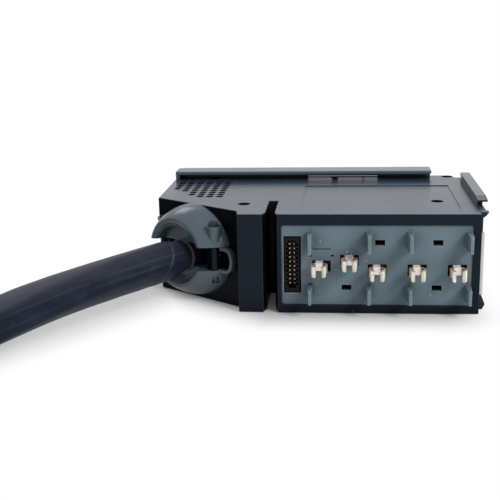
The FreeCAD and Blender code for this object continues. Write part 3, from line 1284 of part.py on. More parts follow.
def cable_coil():
    """Outer shape of the coiled length: one turn on the floor and part of a second one on it."""
    lapped = coil_sector(2, COIL_LAP_START, COIL_LAP)
    single = coil_sector(1, COIL_LAP_START - COIL_LAP, 360 - COIL_LAP)
    coil = lapped.fuse(single)
    coil.translate(V(COIL_CENTRE[0], COIL_CENTRE[1], 0))
    return largest_solid(coil)


def coil_tie():
    """Band round both turns."""
    band = coil_section(SEAT_PLAY + TIE_THICKNESS, 2).cut(coil_section(SEAT_PLAY, 2))
    band.translate(V(-COIL_RADIUS, 0, 0))
    band.rotate(V(0, 0, 0), UP, TIE_ANGLE)
    band.translate(V(COIL_CENTRE[0], COIL_CENTRE[1], 0))
    return band


def connector_axis(shape):
    """Turn a shape drawn along +Z so that it lies along +Y at the cable's end."""
    end = CABLE_TAIL_ROUTE[-1]
    shape.rotate(V(0, 0, 0), V(1, 0, 0), -90)
    shape.translate(end)
    return shape


def revolved(profile):
    """Solid of revolution about Z from (radius, height) points."""
    return polygon_face([(r, 0, z) for r, z in profile]).revolve(V(0, 0, 0), UP, 360)


def connector_nut():
    """Fluted cord-grip nut, its mouth round the cable."""
    profile = [
        (CABLE_RADIUS + FIT, 0),
        (NUT_MOUTH_RADIUS, 0),
        (NUT_RADIUS, NUT_LENGTH * 0.35),
        (NUT_RADIUS, NUT_LENGTH),
        (CABLE_RADIUS + FIT, NUT_LENGTH),
    ]
    nut = revolved(profile)
    flutes = []
    for index in range(NUT_FLUTES):
        turn = 2 * math.pi * index / NUT_FLUTES
        place = V(NUT_RADIUS * 1.04 * math.cos(turn), NUT_RADIUS * 1.04 * math.sin(turn), -1)
        flutes.append(rod(place, NUT_RADIUS * 0.09, NUT_LENGTH + 2))
    return connector_axis(nut.cut(Part.makeCompound(flutes)))


def connector_shell():
    """Hollow waisted shell of the in-line connector."""
    low = NUT_LENGTH
    top = NUT_LENGTH + CONNECTOR_LENGTH
    seat = top - FACE_SETBACK - FACE_THICKNESS
    profile = [
        (CABLE_RADIUS + FIT, low),
        (NUT_RADIUS + 1, low),
        (CONNECTOR_WAIST, low + 4),
        (CONNECTOR_WAIST + 1, top - 2 * CONNECTOR_RIM),
        (CONNECTOR_RADIUS, top - CONNECTOR_RIM - 4),
        (CONNECTOR_RADIUS, top - 1),
        (CONNECTOR_RADIUS - 1, top),
        (FACE_RADIUS + FIT, top),
        (FACE_RADIUS + FIT, seat),
        (CABLE_RADIUS + FIT, seat),
    ]
    return connector_axis(revolved(profile))


def connector_face():
    """Insulating face with curved blade slots."""
    top = NUT_LENGTH + CONNECTOR_LENGTH - FACE_SETBACK
    face = rod(V(0, 0, top - FACE_THICKNESS), FACE_RADIUS, FACE_THICKNESS)
    low = top - FACE_SLOT_DEPTH
    cutters = []
    for index in range(FACE_SLOTS):
        outer_radius = FACE_SLOT_RADIUS + FACE_SLOT_WIDTH / 2
        outer = Part.makeCylinder(outer_radius, FACE_SLOT_DEPTH + 1, V(0, 0, low), UP, FACE_SLOT_SPAN)
        inner = rod(V(0, 0, low), FACE_SLOT_RADIUS - FACE_SLOT_WIDTH / 2, FACE_SLOT_DEPTH + 1)
        slot = outer.cut(inner)
        slot.rotate(V(0, 0, 0), UP, 360 * index / FACE_SLOTS)
        cutters.append(slot)
    return connector_axis(face.cut(Part.makeCompound(cutters)))


def report_cable(name, route, solid):
    """Print a cable run's radii, and its volume beside section times length."""
    radii = largest_radii(route)
    length = Part.Wire(rounded_path(route, radii)).Length
    print(name, "radii", [round(radius) for radius in radii], "length", round(length, 1),
          "volume ratio", round(solid.Volume / (math.pi * CABLE_RADIUS ** 2 * length), 4))


def build():
    """All pieces by name."""
    parts = {}
    parts["housing_upper"], parts["housing_lower"] = housing()
    parts["housing_screws"] = housing_screws()
    parts["front_bezel"] = front_bezel()
    parts["end_guide"] = end_guide()
    parts["rail_base"], parts["guide_rail"] = guide_rails()
    parts["end_pad"] = end_pad()
    parts["connector_panel"] = connector_panel()
    parts["contact_insert"] = contact_insert()
    for contact in CONTACT_X:
        parts["contact_" + contact] = busbar_jaw(contact)
    parts["signal_connector"] = signal_connector()
    parts["signal_contacts"] = signal_contacts()
    parts["sensor_board"] = sensor_board()
    parts["current_transformers"] = current_transformers()
    parts["clamp_upper"], parts["clamp_lower"] = clamp_halves()
    parts["clamp_screws"] = clamp_screws()
    parts["entry_ring"] = entry_ring()
    parts["mounting_rail"] = mounting_rail()
    for index in range(POLE_COUNT):
        parts["breaker_pole_" + str(index + 1)] = breaker_pole(index)
    parts["breaker_handle"] = breaker_handle()
    parts["handle_pin"] = handle_pin()
    parts["line_wires"] = line_wires()
    parts["load_wires"] = load_wires()
    parts["neutral_wire"] = return_wire("neutral", 306, CONTACT_Z["neutral"] - 1.5)
    parts["earth_wire"] = return_wire("earth", 18, CONTACT_Z["earth"] + 6.4)
    parts["cable_lead"] = cable_lead()
    parts["cable_tail"] = tube(CABLE_TAIL_ROUTE, CABLE_RADIUS)
    parts["cable_coil"] = cable_coil()
    parts["coil_tie"] = coil_tie()
    parts["connector_nut"] = connector_nut()
    parts["connector_shell"] = connector_shell()
    parts["connector_face"] = connector_face()
    report_cable("cable_lead", CABLE_ROUTE, parts["cable_lead"])
    report_cable("cable_tail", CABLE_TAIL_ROUTE, parts["cable_tail"])
    return parts


os.makedirs("parts", exist_ok=True)
for node, shape in build().items():
    shape.exportStep("parts/" + node + ".step")
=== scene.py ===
"""Looks of the power distribution module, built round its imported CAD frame."""
import logging
import math
from dataclasses import dataclass
from enum import Enum

import bpy
from mathutils import Matrix, Vector


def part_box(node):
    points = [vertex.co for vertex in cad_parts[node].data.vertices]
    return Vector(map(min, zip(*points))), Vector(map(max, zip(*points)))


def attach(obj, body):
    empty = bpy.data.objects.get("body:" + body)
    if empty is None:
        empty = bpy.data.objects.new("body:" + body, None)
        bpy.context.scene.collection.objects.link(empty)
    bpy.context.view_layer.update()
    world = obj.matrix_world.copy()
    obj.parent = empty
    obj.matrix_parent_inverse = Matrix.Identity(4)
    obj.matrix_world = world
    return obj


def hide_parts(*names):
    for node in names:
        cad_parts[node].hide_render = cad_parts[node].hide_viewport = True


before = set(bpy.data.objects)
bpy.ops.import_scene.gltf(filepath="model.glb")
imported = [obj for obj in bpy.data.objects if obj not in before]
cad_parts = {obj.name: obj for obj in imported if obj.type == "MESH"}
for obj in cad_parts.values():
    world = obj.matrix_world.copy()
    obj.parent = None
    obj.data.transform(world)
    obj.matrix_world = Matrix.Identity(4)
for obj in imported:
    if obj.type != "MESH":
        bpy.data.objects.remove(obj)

Colour = tuple[float, float, float]
Point = tuple[float, float, float]
Span = tuple[float, float]

LOG = logging.getLogger("power_module")
BODY = "module"
FULL_TURN = 2 * math.pi
WHITE = (1.0, 1.0, 1.0, 1.0)
# The cable's texture map holds metres along the cable and turns round it.
RUN_MAP = "run"
# The sheath folds near the clamp: distance along the cable, and how far the fold leans.
FOLD_RUN = 0.037
FOLD_LEAN = 0.008


def clamped(value: float, span: Span) -> float:
    """Share of the way through a span, kept between 0 and 1."""
    low, high = span
    return min(1.0, max(0.0, (value - low) / (high - low)))


def eased(share: float) -> float:
    """Share of the way with a gentle start and stop."""
    return share * share * (3.0 - 2.0 * share)


class Axis(Enum):
    """A direction in the row frame."""

    X = "X"
    Y = "Y"
    Z = "Z"


class Detail(Enum):
    """How many octaves a noise has."""

    SOFT = 1.0
    PLAIN = 2.0
    RICH = 3.0
    BUSY = 4.0


class Grain(Enum):
    """Surface of a moulded piece: size of its grain in metres and its depth."""

    FINE = (0.00022, 0.000010)
    SPARK = (0.00034, 0.000018)
    SMOOTH = (0.00060, 0.000005)
    SATIN = (0.00030, 0.000003)

    @property
    def size(self) -> float:
        """Distance between grains."""
        return self.value[0]

    @property
    def depth(self) -> float:
        """Height of the grains."""
        return self.value[1]


class Channel:
    """An output socket of a shader node, so that shader maths reads as an expression."""

    def __init__(self, sheet: "NodeSheet", socket: bpy.types.NodeSocket) -> None:
        """Keep the socket and the sheet that it belongs to."""
        self.sheet = sheet
        self.socket = socket

    def _maths(self, operation: str, first: "Channel | float",
               second: "Channel | float" = 0.0) -> "Channel":
        """Add one Math node."""
        return self.sheet.channel("ShaderNodeMath", {"operation": operation}, {0: first, 1: second})

    def __add__(self, other: "Channel | float") -> "Channel":
        """Sum."""
        return self._maths("ADD", self, other)

    def __radd__(self, other: float) -> "Channel":
        """Sum with a number in front."""
        return self._maths("ADD", other, self)

    def __sub__(self, other: "Channel | float") -> "Channel":
        """Difference."""
        return self._maths("SUBTRACT", self, other)

    def __rsub__(self, other: float) -> "Channel":
        """Difference from a number."""
        return self._maths("SUBTRACT", other, self)

    def __mul__(self, other: "Channel | float") -> "Channel":
        """Product."""
        return self._maths("MULTIPLY", self, other)

    def __rmul__(self, other: float) -> "Channel":
        """Product with a number in front."""
        return self._maths("MULTIPLY", other, self)

    def __pow__(self, other: "Channel | float") -> "Channel":
        """Power."""
        return self._maths("POWER", self, other)

    def __rpow__(self, other: float) -> "Channel":
        """A number raised to this power."""
        return self._maths("POWER", other, self)

    def __lt__(self, other: "Channel | float") -> "Channel":
        """One where this is less."""
        return self._maths("LESS_THAN", self, other)

    def __gt__(self, other: "Channel | float") -> "Channel":
        """One where this is greater, and the reflected form of less."""
        return self._maths("GREATER_THAN", self, other)

    def __neg__(self) -> "Channel":
        """The same with its sign turned."""
        return self._maths("SUBTRACT", 0.0, self)

    def __abs__(self) -> "Channel":
        """Size without sign."""
        return self._maths("ABSOLUTE", self)

    def largest(self, other: "Channel | float") -> "Channel":
        """Larger of the two."""
        return self._maths("MAXIMUM", self, other)

    def smallest(self, other: "Channel | float") -> "Channel":
        """Smaller of the two."""
        return self._maths("MINIMUM", self, other)

    def wave(self) -> "Channel":
        """Sine of this."""
        return self._maths("SINE", self)

    def lifted(self) -> "Channel":
        """A wave from -1 to 1 brought to 0 to 1."""
        return 0.5 + self * 0.5

    def swing(self, amount: float) -> "Channel":
        """A noise about one half, centred on zero and scaled."""
        return (self - 0.5) * amount

    def distance(self, other: "Channel") -> "Channel":
        """Length of the flat vector that this and another make."""
        return (self * self + other * other) ** 0.5

    def between(self, low: float, high: float) -> "Channel":
        """Smooth step that rises from 0 at low to 1 at high."""
        inputs = {"Value": self, "From Min": low, "From Max": high}
        return self.sheet.channel("ShaderNodeMapRange", {"interpolation_type": "SMOOTHSTEP"}, inputs)


class NodeSheet:
    """Node tree of one material or of the world."""

    # A Mix node's colour sockets share their names with others, so they go by number.
    MIX_FACTOR = 0
    MIX_UNDER = 6
    MIX_OVER = 7
    MIX_RESULT = 2
    BEVEL_SAMPLES = 4
    OCCLUSION_SAMPLES = 8
    EDGE_LEAN = (0.004, 0.12)
    SEEN_RAYS = ("Is Camera Ray", "Is Glossy Ray", "Is Transmission Ray")

    def __init__(self, tree: bpy.types.NodeTree) -> None:
        """Take over a tree and empty it."""
        self.tree = tree
        tree.nodes.clear()

    def add(self, kind: str, settings: dict | None = None, inputs: dict | None = None) -> bpy.types.Node:
        """Add one node.

        Args:
            kind: Node type.
            settings: Properties, set first.
            inputs: Values or channels by socket name or number.

        Returns:
            The node.
        """
        node = self.tree.nodes.new(kind)
        for name, value in (settings or {}).items():
            setattr(node, name, value)
        for key, value in (inputs or {}).items():
            if isinstance(value, Channel):
                self.tree.links.new(value.socket, node.inputs[key])
            else:
                node.inputs[key].default_value = value
        return node

    def channel(self, kind: str, settings: dict | None = None, inputs: dict | None = None,
                output: int | str = 0) -> Channel:
        """Add one node and give one of its outputs."""
        return Channel(self, self.add(kind, settings, inputs).outputs[output])

    def mix(self, factor: Channel | float, under: Channel | Colour, over: Channel | Colour) -> Channel:
        """Lay one colour over another.

        Args:
            factor: How much of the upper colour shows.
            under: Lower colour.
            over: Upper colour.

        Returns:
            The mixed colour.
        """
        under = under if isinstance(under, Channel) else (*under, 1.0)
        over = over if isinstance(over, Channel) else (*over, 1.0)
        inputs = {self.MIX_FACTOR: factor, self.MIX_UNDER: under, self.MIX_OVER: over}
        return self.channel("ShaderNodeMix", {"data_type": "RGBA"}, inputs, self.MIX_RESULT)

    def place(self) -> Channel:
        """Position in the row frame, in metres."""
        return self.channel("ShaderNodeTexCoord", output="Object")

    def noise(self, size: float, detail: Detail = Detail.PLAIN, where: Channel | None = None,
              roughness: float = 0.5) -> Channel:
        """Cloudy noise with features of a given size.

        Args:
            size: Size of the features in metres.
            detail: Octaves.
            where: Coordinates, the row frame by default.
            roughness: Weight of the finer octaves.

        Returns:
            Values about one half.
        """
        inputs = {"Vector": where or self.place(), "Scale": 1.0 / size}
        inputs |= {"Detail": detail.value, "Roughness": roughness}
        return self.channel("ShaderNodeTexNoise", {}, inputs)

    def cells(self, size: float, where: Channel | None = None) -> Channel:
        """Distance to scattered points, in cell sizes."""
        inputs = {"Vector": where or self.place(), "Scale": 1.0 / size}
        return self.channel("ShaderNodeTexVoronoi", {}, inputs)

    def stretched(self, scale: Point, where: Channel | None = None) -> Channel:
        """Coordinates scaled on each axis, the row frame's by default."""
        inputs = {0: where or self.place(), 1: scale}
        return self.channel("ShaderNodeVectorMath", {"operation": "MULTIPLY"}, inputs)

    def part_of(self, vector: Channel, axis: Axis) -> Channel:
        """One component of a vector."""
        return self.channel("ShaderNodeSeparateXYZ", {}, {0: vector}, axis.value)

    def facing(self, axis: Axis) -> Channel:
        """One component of the piece's own normal."""
        return self.part_of(self.channel("ShaderNodeTexCoord", output="Normal"), axis)

    def soft_normal(self, radius: float) -> Channel:
        """Normal with edges rounded off by a small radius."""
        return self.channel("ShaderNodeBevel", {"samples": self.BEVEL_SAMPLES}, {"Radius": radius})

    def edge(self, radius: float) -> Channel:
        """Find the piece's edges.

        Args:
            radius: How far an edge reaches into its faces.

        Returns:
            One along the edges, nothing on the flats.
        """
        flat = self.channel("ShaderNodeNewGeometry", output="Normal")
        inputs = {0: self.soft_normal(radius), 1: flat}
        lean = self.channel("ShaderNodeVectorMath", {"operation": "DOT_PRODUCT"}, inputs, "Value")
        return (1.0 - lean).between(*self.EDGE_LEAN)

    def crevice(self, reach: float) -> Channel:
        """One deep in corners and wells, nothing on open faces."""
        settings = {"samples": self.OCCLUSION_SAMPLES}
        return 1.0 - self.channel("ShaderNodeAmbientOcclusion", settings, {"Distance": reach}, "AO")

    def bump(self, height: Channel, normal: Channel | None = None) -> Channel:
        """Shake a normal by a height.

        Args:
            height: Height in metres.
            normal: Normal to start from, the piece's own by default.

        Returns:
            The new normal.
        """
        inputs = {"Height": height, "Strength": 1.0, "Distance": 1.0}
        if normal is not None:
            inputs["Normal"] = normal
        return self.channel("ShaderNodeBump", {}, inputs)

    def seen(self) -> Channel:
        """Tell the rays that show the background, as the camera, gloss and glass see it.

        Returns:
            One for those rays.
        """
        rays = self.add("ShaderNodeLightPath")
        camera, gloss, glass = (Channel(self, rays.outputs[name]) for name in self.SEEN_RAYS)
        return camera.largest(gloss).largest(glass)

    def surface(self, inputs: dict) -> None:
        """End the tree in one Principled shader."""
        shader = self.channel("ShaderNodeBsdfPrincipled", {}, inputs)
        self.add("ShaderNodeOutputMaterial", {}, {"Surface": shader})


@dataclass(frozen=True)
class Finish:
    """A finish with its plain colour and roughness."""

    name: str
    colour: Colour
    roughness: float

    def shade(self, amount: float) -> Colour:
        """The plain colour, lighter or darker."""
        return tuple(min(1.0, part * amount) for part in self.colour)

    def paint(self, sheet: NodeSheet) -> None:
        """Fill the material's node tree."""
        raise NotImplementedError

    def material(self) -> bpy.types.Material:
        """Give the finish as a material, made the first time it is asked for.

        Returns:
            The material.
        """
        title = f"{self.name}_finish"
        found = bpy.data.materials.get(title)
        if found is None:
            found = bpy.data.materials.new(title)
            found.use_nodes = True
            self.paint(NodeSheet(found.node_tree))
            found.diffuse_color = (*self.colour, 1.0)
        return found


@dataclass(frozen=True)
class MouldedPlastic(Finish):
    """Injection-moulded plastic: grain, faint flow clouds, pale worn edges with a painted highlight, a
    little dust, painted shade in corners, and painted light on faces that look up or to the connector's
    side.

    Attributes:
        grain: Texture of the mould.
        clouding: How far the flow clouds are lighter and darker.
        wear_and_highlight: How pale the edges are, worn and painted as a highlight.
        dust: How much the specks of dust show.
        seam: Height of the parting line, where the piece has one.
        specular: Strength of the plain gloss.
        corner_shade: Painted shade: how dark the corners and wells are painted.
        polish: Coat on the faces that look up.
        bloom_and_top_light: Colour of the faces that look up, where it differs: a painted top light.
        matt: Colour of the faces on the connector's side, where it differs: a painted light on that side.
        edge_width: How far the wear and painted highlight reach from an edge.
    """

    grain: Grain = Grain.FINE
    clouding: float = 0.10
    wear_and_highlight: float = 0.5
    dust: float = 0.0
    seam: float | None = None
    specular: float = 0.5
    corner_shade: float = 0.35
    polish: float = 0.0
    bloom_and_top_light: Colour | None = None
    matt: Colour | None = None
    edge_width: float = 0.0004

    CLOUD_SIZE = 0.030
    CLOUD_SPAN = (0.3, 0.7)
    CLOUD_GLOSS = 0.10
    STREAK_SIZE = 0.012
    STREAK_STRETCH = (0.25, 1.0, 1.6)
    STREAK_GLOSS = 0.08
    STREAK_DEPTH = 0.8
    GRAIN_SPAN = (0.45, 0.75)
    GRAIN_SHOW = 0.35
    GRAIN_TINT = 1.35
    TOP_SPAN = (0.85, 0.97)
    BLOOM_AND_TOP_LIGHT_SHOW = 0.75
    TOP_LIGHT_STREAK = 0.4
    NEAR_SPAN = (0.86, 0.95)
    FRONT_LIGHT_SHOW = 0.85
    FRONT_LIGHT_GRAIN = 0.3
    RUB_SIZE = 0.004
    RUB_SPAN = (0.10, 0.50)
    WEAR_AND_HIGHLIGHT_TINT = 1.6
    WEAR_AND_HIGHLIGHT_KEEP = 0.9
    WEAR_AND_HIGHLIGHT_LIFT = 0.12
    RUB_GLOSS = 0.06
    CORNER_SHADE_REACH = 0.012
    CORNER_SHADE_TINT = 0.15
    DUST_CELL = 0.0042
    DUST_PATCH = 0.011
    DUST_SPAN = (0.48, 0.70)
    DUST_SPECK = 0.10
    DUST_COLOUR = (0.62, 0.64, 0.64)
    DUST_DULL = 0.2
    SEAM_SPAN = (0.00003, 0.00022)
    SEAM_SHOW = 0.75
    SEAM_TINT = 0.25
    SEAM_DEPTH = 0.00012
    EDGE_RADIUS = 0.0004
    COAT_ROUGHNESS = 0.21

    def motes(self, sheet: NodeSheet) -> Channel:
        """Scatter dust over the surface.

        Args:
            sheet: The material's node tree.

        Returns:
            How much dust shows.
        """
        patch = sheet.noise(self.DUST_PATCH, Detail.SOFT).between(*self.DUST_SPAN)
        speck = sheet.cells(self.DUST_CELL) < patch * self.DUST_SPECK
        return speck * self.dust

    def groove(self, sheet: NodeSheet) -> Channel:
        """One along the parting line, nothing away from it."""
        away = abs(sheet.part_of(sheet.place(), Axis.Z) - self.seam)
        return 1.0 - away.between(*self.SEAM_SPAN)

    def paint(self, sheet: NodeSheet) -> None:
        """Fill the material's node tree.

        Args:
            sheet: The material's node tree.
        """
        cloud = sheet.noise(self.CLOUD_SIZE, Detail.RICH)
        streak = sheet.noise(self.STREAK_SIZE, Detail.PLAIN, sheet.stretched(self.STREAK_STRETCH))
        grain = sheet.noise(self.grain.size, Detail.PLAIN)
        broken = sheet.noise(self.RUB_SIZE, Detail.RICH).between(*self.RUB_SPAN)
        edge = sheet.edge(self.edge_width) * broken
        upward = sheet.facing(Axis.Z).between(*self.TOP_SPAN)
        dark, light = self.shade(1.0 - self.clouding), self.shade(1.0 + self.clouding)
        colour = sheet.mix(cloud.between(*self.CLOUD_SPAN), dark, light)
        grains = grain.between(*self.GRAIN_SPAN) * self.GRAIN_SHOW
        colour = sheet.mix(grains, colour, self.shade(self.GRAIN_TINT))
        # Painted top light: faces that look up get a lighter colour, streaked.
        if self.bloom_and_top_light is not None:
            colour = sheet.mix(upward * (self.BLOOM_AND_TOP_LIGHT_SHOW + streak * self.TOP_LIGHT_STREAK), colour, self.bloom_and_top_light)
        # Painted light: faces towards the connector's side get a lighter colour.
        if self.matt is not None:
            near_face = (-sheet.facing(Axis.Y)).between(*self.NEAR_SPAN)
            colour = sheet.mix(near_face * (self.FRONT_LIGHT_SHOW + grain * self.FRONT_LIGHT_GRAIN), colour, self.matt)
        # Worn edges with a painted highlight: edges made lighter through a broken mask.
        worn_highlit = tuple(self.WEAR_AND_HIGHLIGHT_KEEP * part + self.WEAR_AND_HIGHLIGHT_LIFT for part in self.shade(self.WEAR_AND_HIGHLIGHT_TINT))
        colour = sheet.mix(edge * self.wear_and_highlight, colour, worn_highlit)
        # Painted shade: corners and wells darkened by how closed in they are.
        corner_shade = sheet.crevice(self.CORNER_SHADE_REACH) * self.corner_shade
        colour = sheet.mix(corner_shade, colour, self.shade(self.CORNER_SHADE_TINT))
        rough = self.roughness + cloud.swing(self.CLOUD_GLOSS) + streak.swing(self.STREAK_GLOSS)
        rough = rough - edge * self.RUB_GLOSS
        height = grain * self.grain.depth + streak * (self.grain.depth * self.STREAK_DEPTH)
        if self.dust > 0.0:
            motes = self.motes(sheet)
            colour = sheet.mix(motes, colour, self.DUST_COLOUR)
            rough = rough + motes * self.DUST_DULL
        if self.seam is not None:
            groove = self.groove(sheet)
            colour = sheet.mix(groove * self.SEAM_SHOW, colour, self.shade(self.SEAM_TINT))
            height = height - groove * self.SEAM_DEPTH
        normal = sheet.bump(height, sheet.soft_normal(self.EDGE_RADIUS))
        inputs = {"Base Color": colour, "Roughness": rough, "Normal": normal}
        inputs["Specular IOR Level"] = self.specular
        if self.polish > 0.0:
            inputs |= {"Coat Weight": upward * self.polish, "Coat Roughness": self.COAT_ROUGHNESS}
        sheet.surface(inputs)


@dataclass(frozen=True)
class TinnedSheet(Finish):
    """Tinned copper strip whose sheared edges show bare copper, with painted shade on its flanks and in
    its hollows.

    Attributes:
        copper: Colour of the sheared edges.
        cream: Colour of the flanks near the mouth.
        root_shade: Colour of the flanks near the root, a painted shade.
        root: Where the flanks turn from cream to painted shade, front to back.
    """

    copper: Colour = (0.78, 0.33, 0.18)
    cream: Colour = (0.90, 0.81, 0.62)
    root_shade: Colour = (0.16, 0.15, 0.13)
    root: Span = (-0.0690, -0.0660)

    SHEAR_SPAN = (0.986, 0.996)
    SHEAR_HEIGHT = 0.00003
    RAGGED_SPAN = (0.18, 0.42)
    RAGGED_DULL = 0.14
    CLOUD_SIZE = 0.0016
    CLOUD_SPAN = (0.35, 0.75)
    CLOUD_SHOW = 0.5
    CLOUD_TINT = 0.80
    ROLL_SIZE = 0.0005
    ROLL_STRETCH = (1.0, 0.15, 3.0)
    ROLL_GLOSS = 0.18
    ROLL_HEIGHT = 0.000012
    FLANK_SPAN = (0.45, 0.85)
    ROOT_SHADE_SHOW = 0.9
    CREAM_SHOW = 0.6
    HOLLOW_SHADE_REACH = 0.0030
    HOLLOW_SHADE_SPAN = (0.45, 0.95)
    HOLLOW_SHADE_SHOW = 0.4
    HOLLOW_SHADE_COLOUR = (0.10, 0.085, 0.07)
    EDGE_RADIUS = 0.00018
    METAL = 0.5

    def paint(self, sheet: NodeSheet) -> None:
        """Fill the material's node tree.

        Args:
            sheet: The material's node tree.
        """
        sheared = abs(sheet.facing(Axis.Z)).between(*self.SHEAR_SPAN)
        cloud = sheet.noise(self.CLOUD_SIZE, Detail.RICH)
        roll = sheet.noise(self.ROLL_SIZE, Detail.PLAIN, sheet.stretched(self.ROLL_STRETCH))
        ragged = sheared * cloud.between(*self.RAGGED_SPAN)
        dull = cloud.between(*self.CLOUD_SPAN) * self.CLOUD_SHOW
        colour = sheet.mix(dull, self.colour, self.shade(self.CLOUD_TINT))
        root = sheet.part_of(sheet.place(), Axis.Y).between(*self.root)
        flank = abs(sheet.facing(Axis.X)).between(*self.FLANK_SPAN)
        # Painted shade: flanks darkened towards the root.
        colour = sheet.mix(flank * root * self.ROOT_SHADE_SHOW, colour, self.root_shade)
        colour = sheet.mix(flank * (1.0 - root) * self.CREAM_SHOW, colour, self.cream)
        colour = sheet.mix(ragged, colour, self.copper)
        # Painted shade: hollows darkened by how closed in they are.
        hollow_shade = sheet.crevice(self.HOLLOW_SHADE_REACH).between(*self.HOLLOW_SHADE_SPAN) * self.HOLLOW_SHADE_SHOW
        colour = sheet.mix(hollow_shade, colour, self.HOLLOW_SHADE_COLOUR)
        rough = self.roughness + roll.swing(self.ROLL_GLOSS) + ragged * self.RAGGED_DULL
        height = roll * self.ROLL_HEIGHT + sheared * cloud * self.SHEAR_HEIGHT
        normal = sheet.bump(height, sheet.soft_normal(self.EDGE_RADIUS))
        sheet.surface({"Base Color": colour, "Roughness": rough, "Metallic": self.METAL, "Normal": normal})


@dataclass(frozen=True)
class PlatedMetal(Finish):
    """Plated metal with fine drawn lines, dull patches and worn edges.

    Attributes:
        lines: Stretch of the drawn lines on each axis.
        patch: Size of the dull patches.
    """

    lines: Point = (1.0, 1.0, 0.1)
    patch: float = 0.004

    LINE_SIZE = 0.0004
    LINE_GLOSS = 0.16
    LINE_HEIGHT = 0.000008
    PATCH_SPAN = (0.35, 0.7)
    PATCH_TINT = 0.78
    PATCH_DULL = 0.10
    PATCH_HEIGHT = 0.00001
    EDGE_RADIUS = 0.00015
    EDGE_SHOW = 0.4
    EDGE_TINT = 1.3

    def paint(self, sheet: NodeSheet) -> None:
        """Fill the material's node tree.

        Args:
            sheet: The material's node tree.
        """
        drawn = sheet.noise(self.LINE_SIZE, Detail.PLAIN, sheet.stretched(self.lines))
        patch = sheet.noise(self.patch, Detail.RICH)
        edge = sheet.edge(self.EDGE_RADIUS) * self.EDGE_SHOW
        colour = sheet.mix(patch.between(*self.PATCH_SPAN), self.colour, self.shade(self.PATCH_TINT))
        colour = sheet.mix(edge, colour, self.shade(self.EDGE_TINT))
        rough = self.roughness + drawn.swing(self.LINE_GLOSS) + patch * self.PATCH_DULL
        height = drawn * self.LINE_HEIGHT + patch * self.PATCH_HEIGHT
        normal = sheet.bump(height, sheet.soft_normal(self.EDGE_RADIUS))
        sheet.surface({"Base Color": colour, "Roughness": rough, "Metallic": 1.0, "Normal": normal})


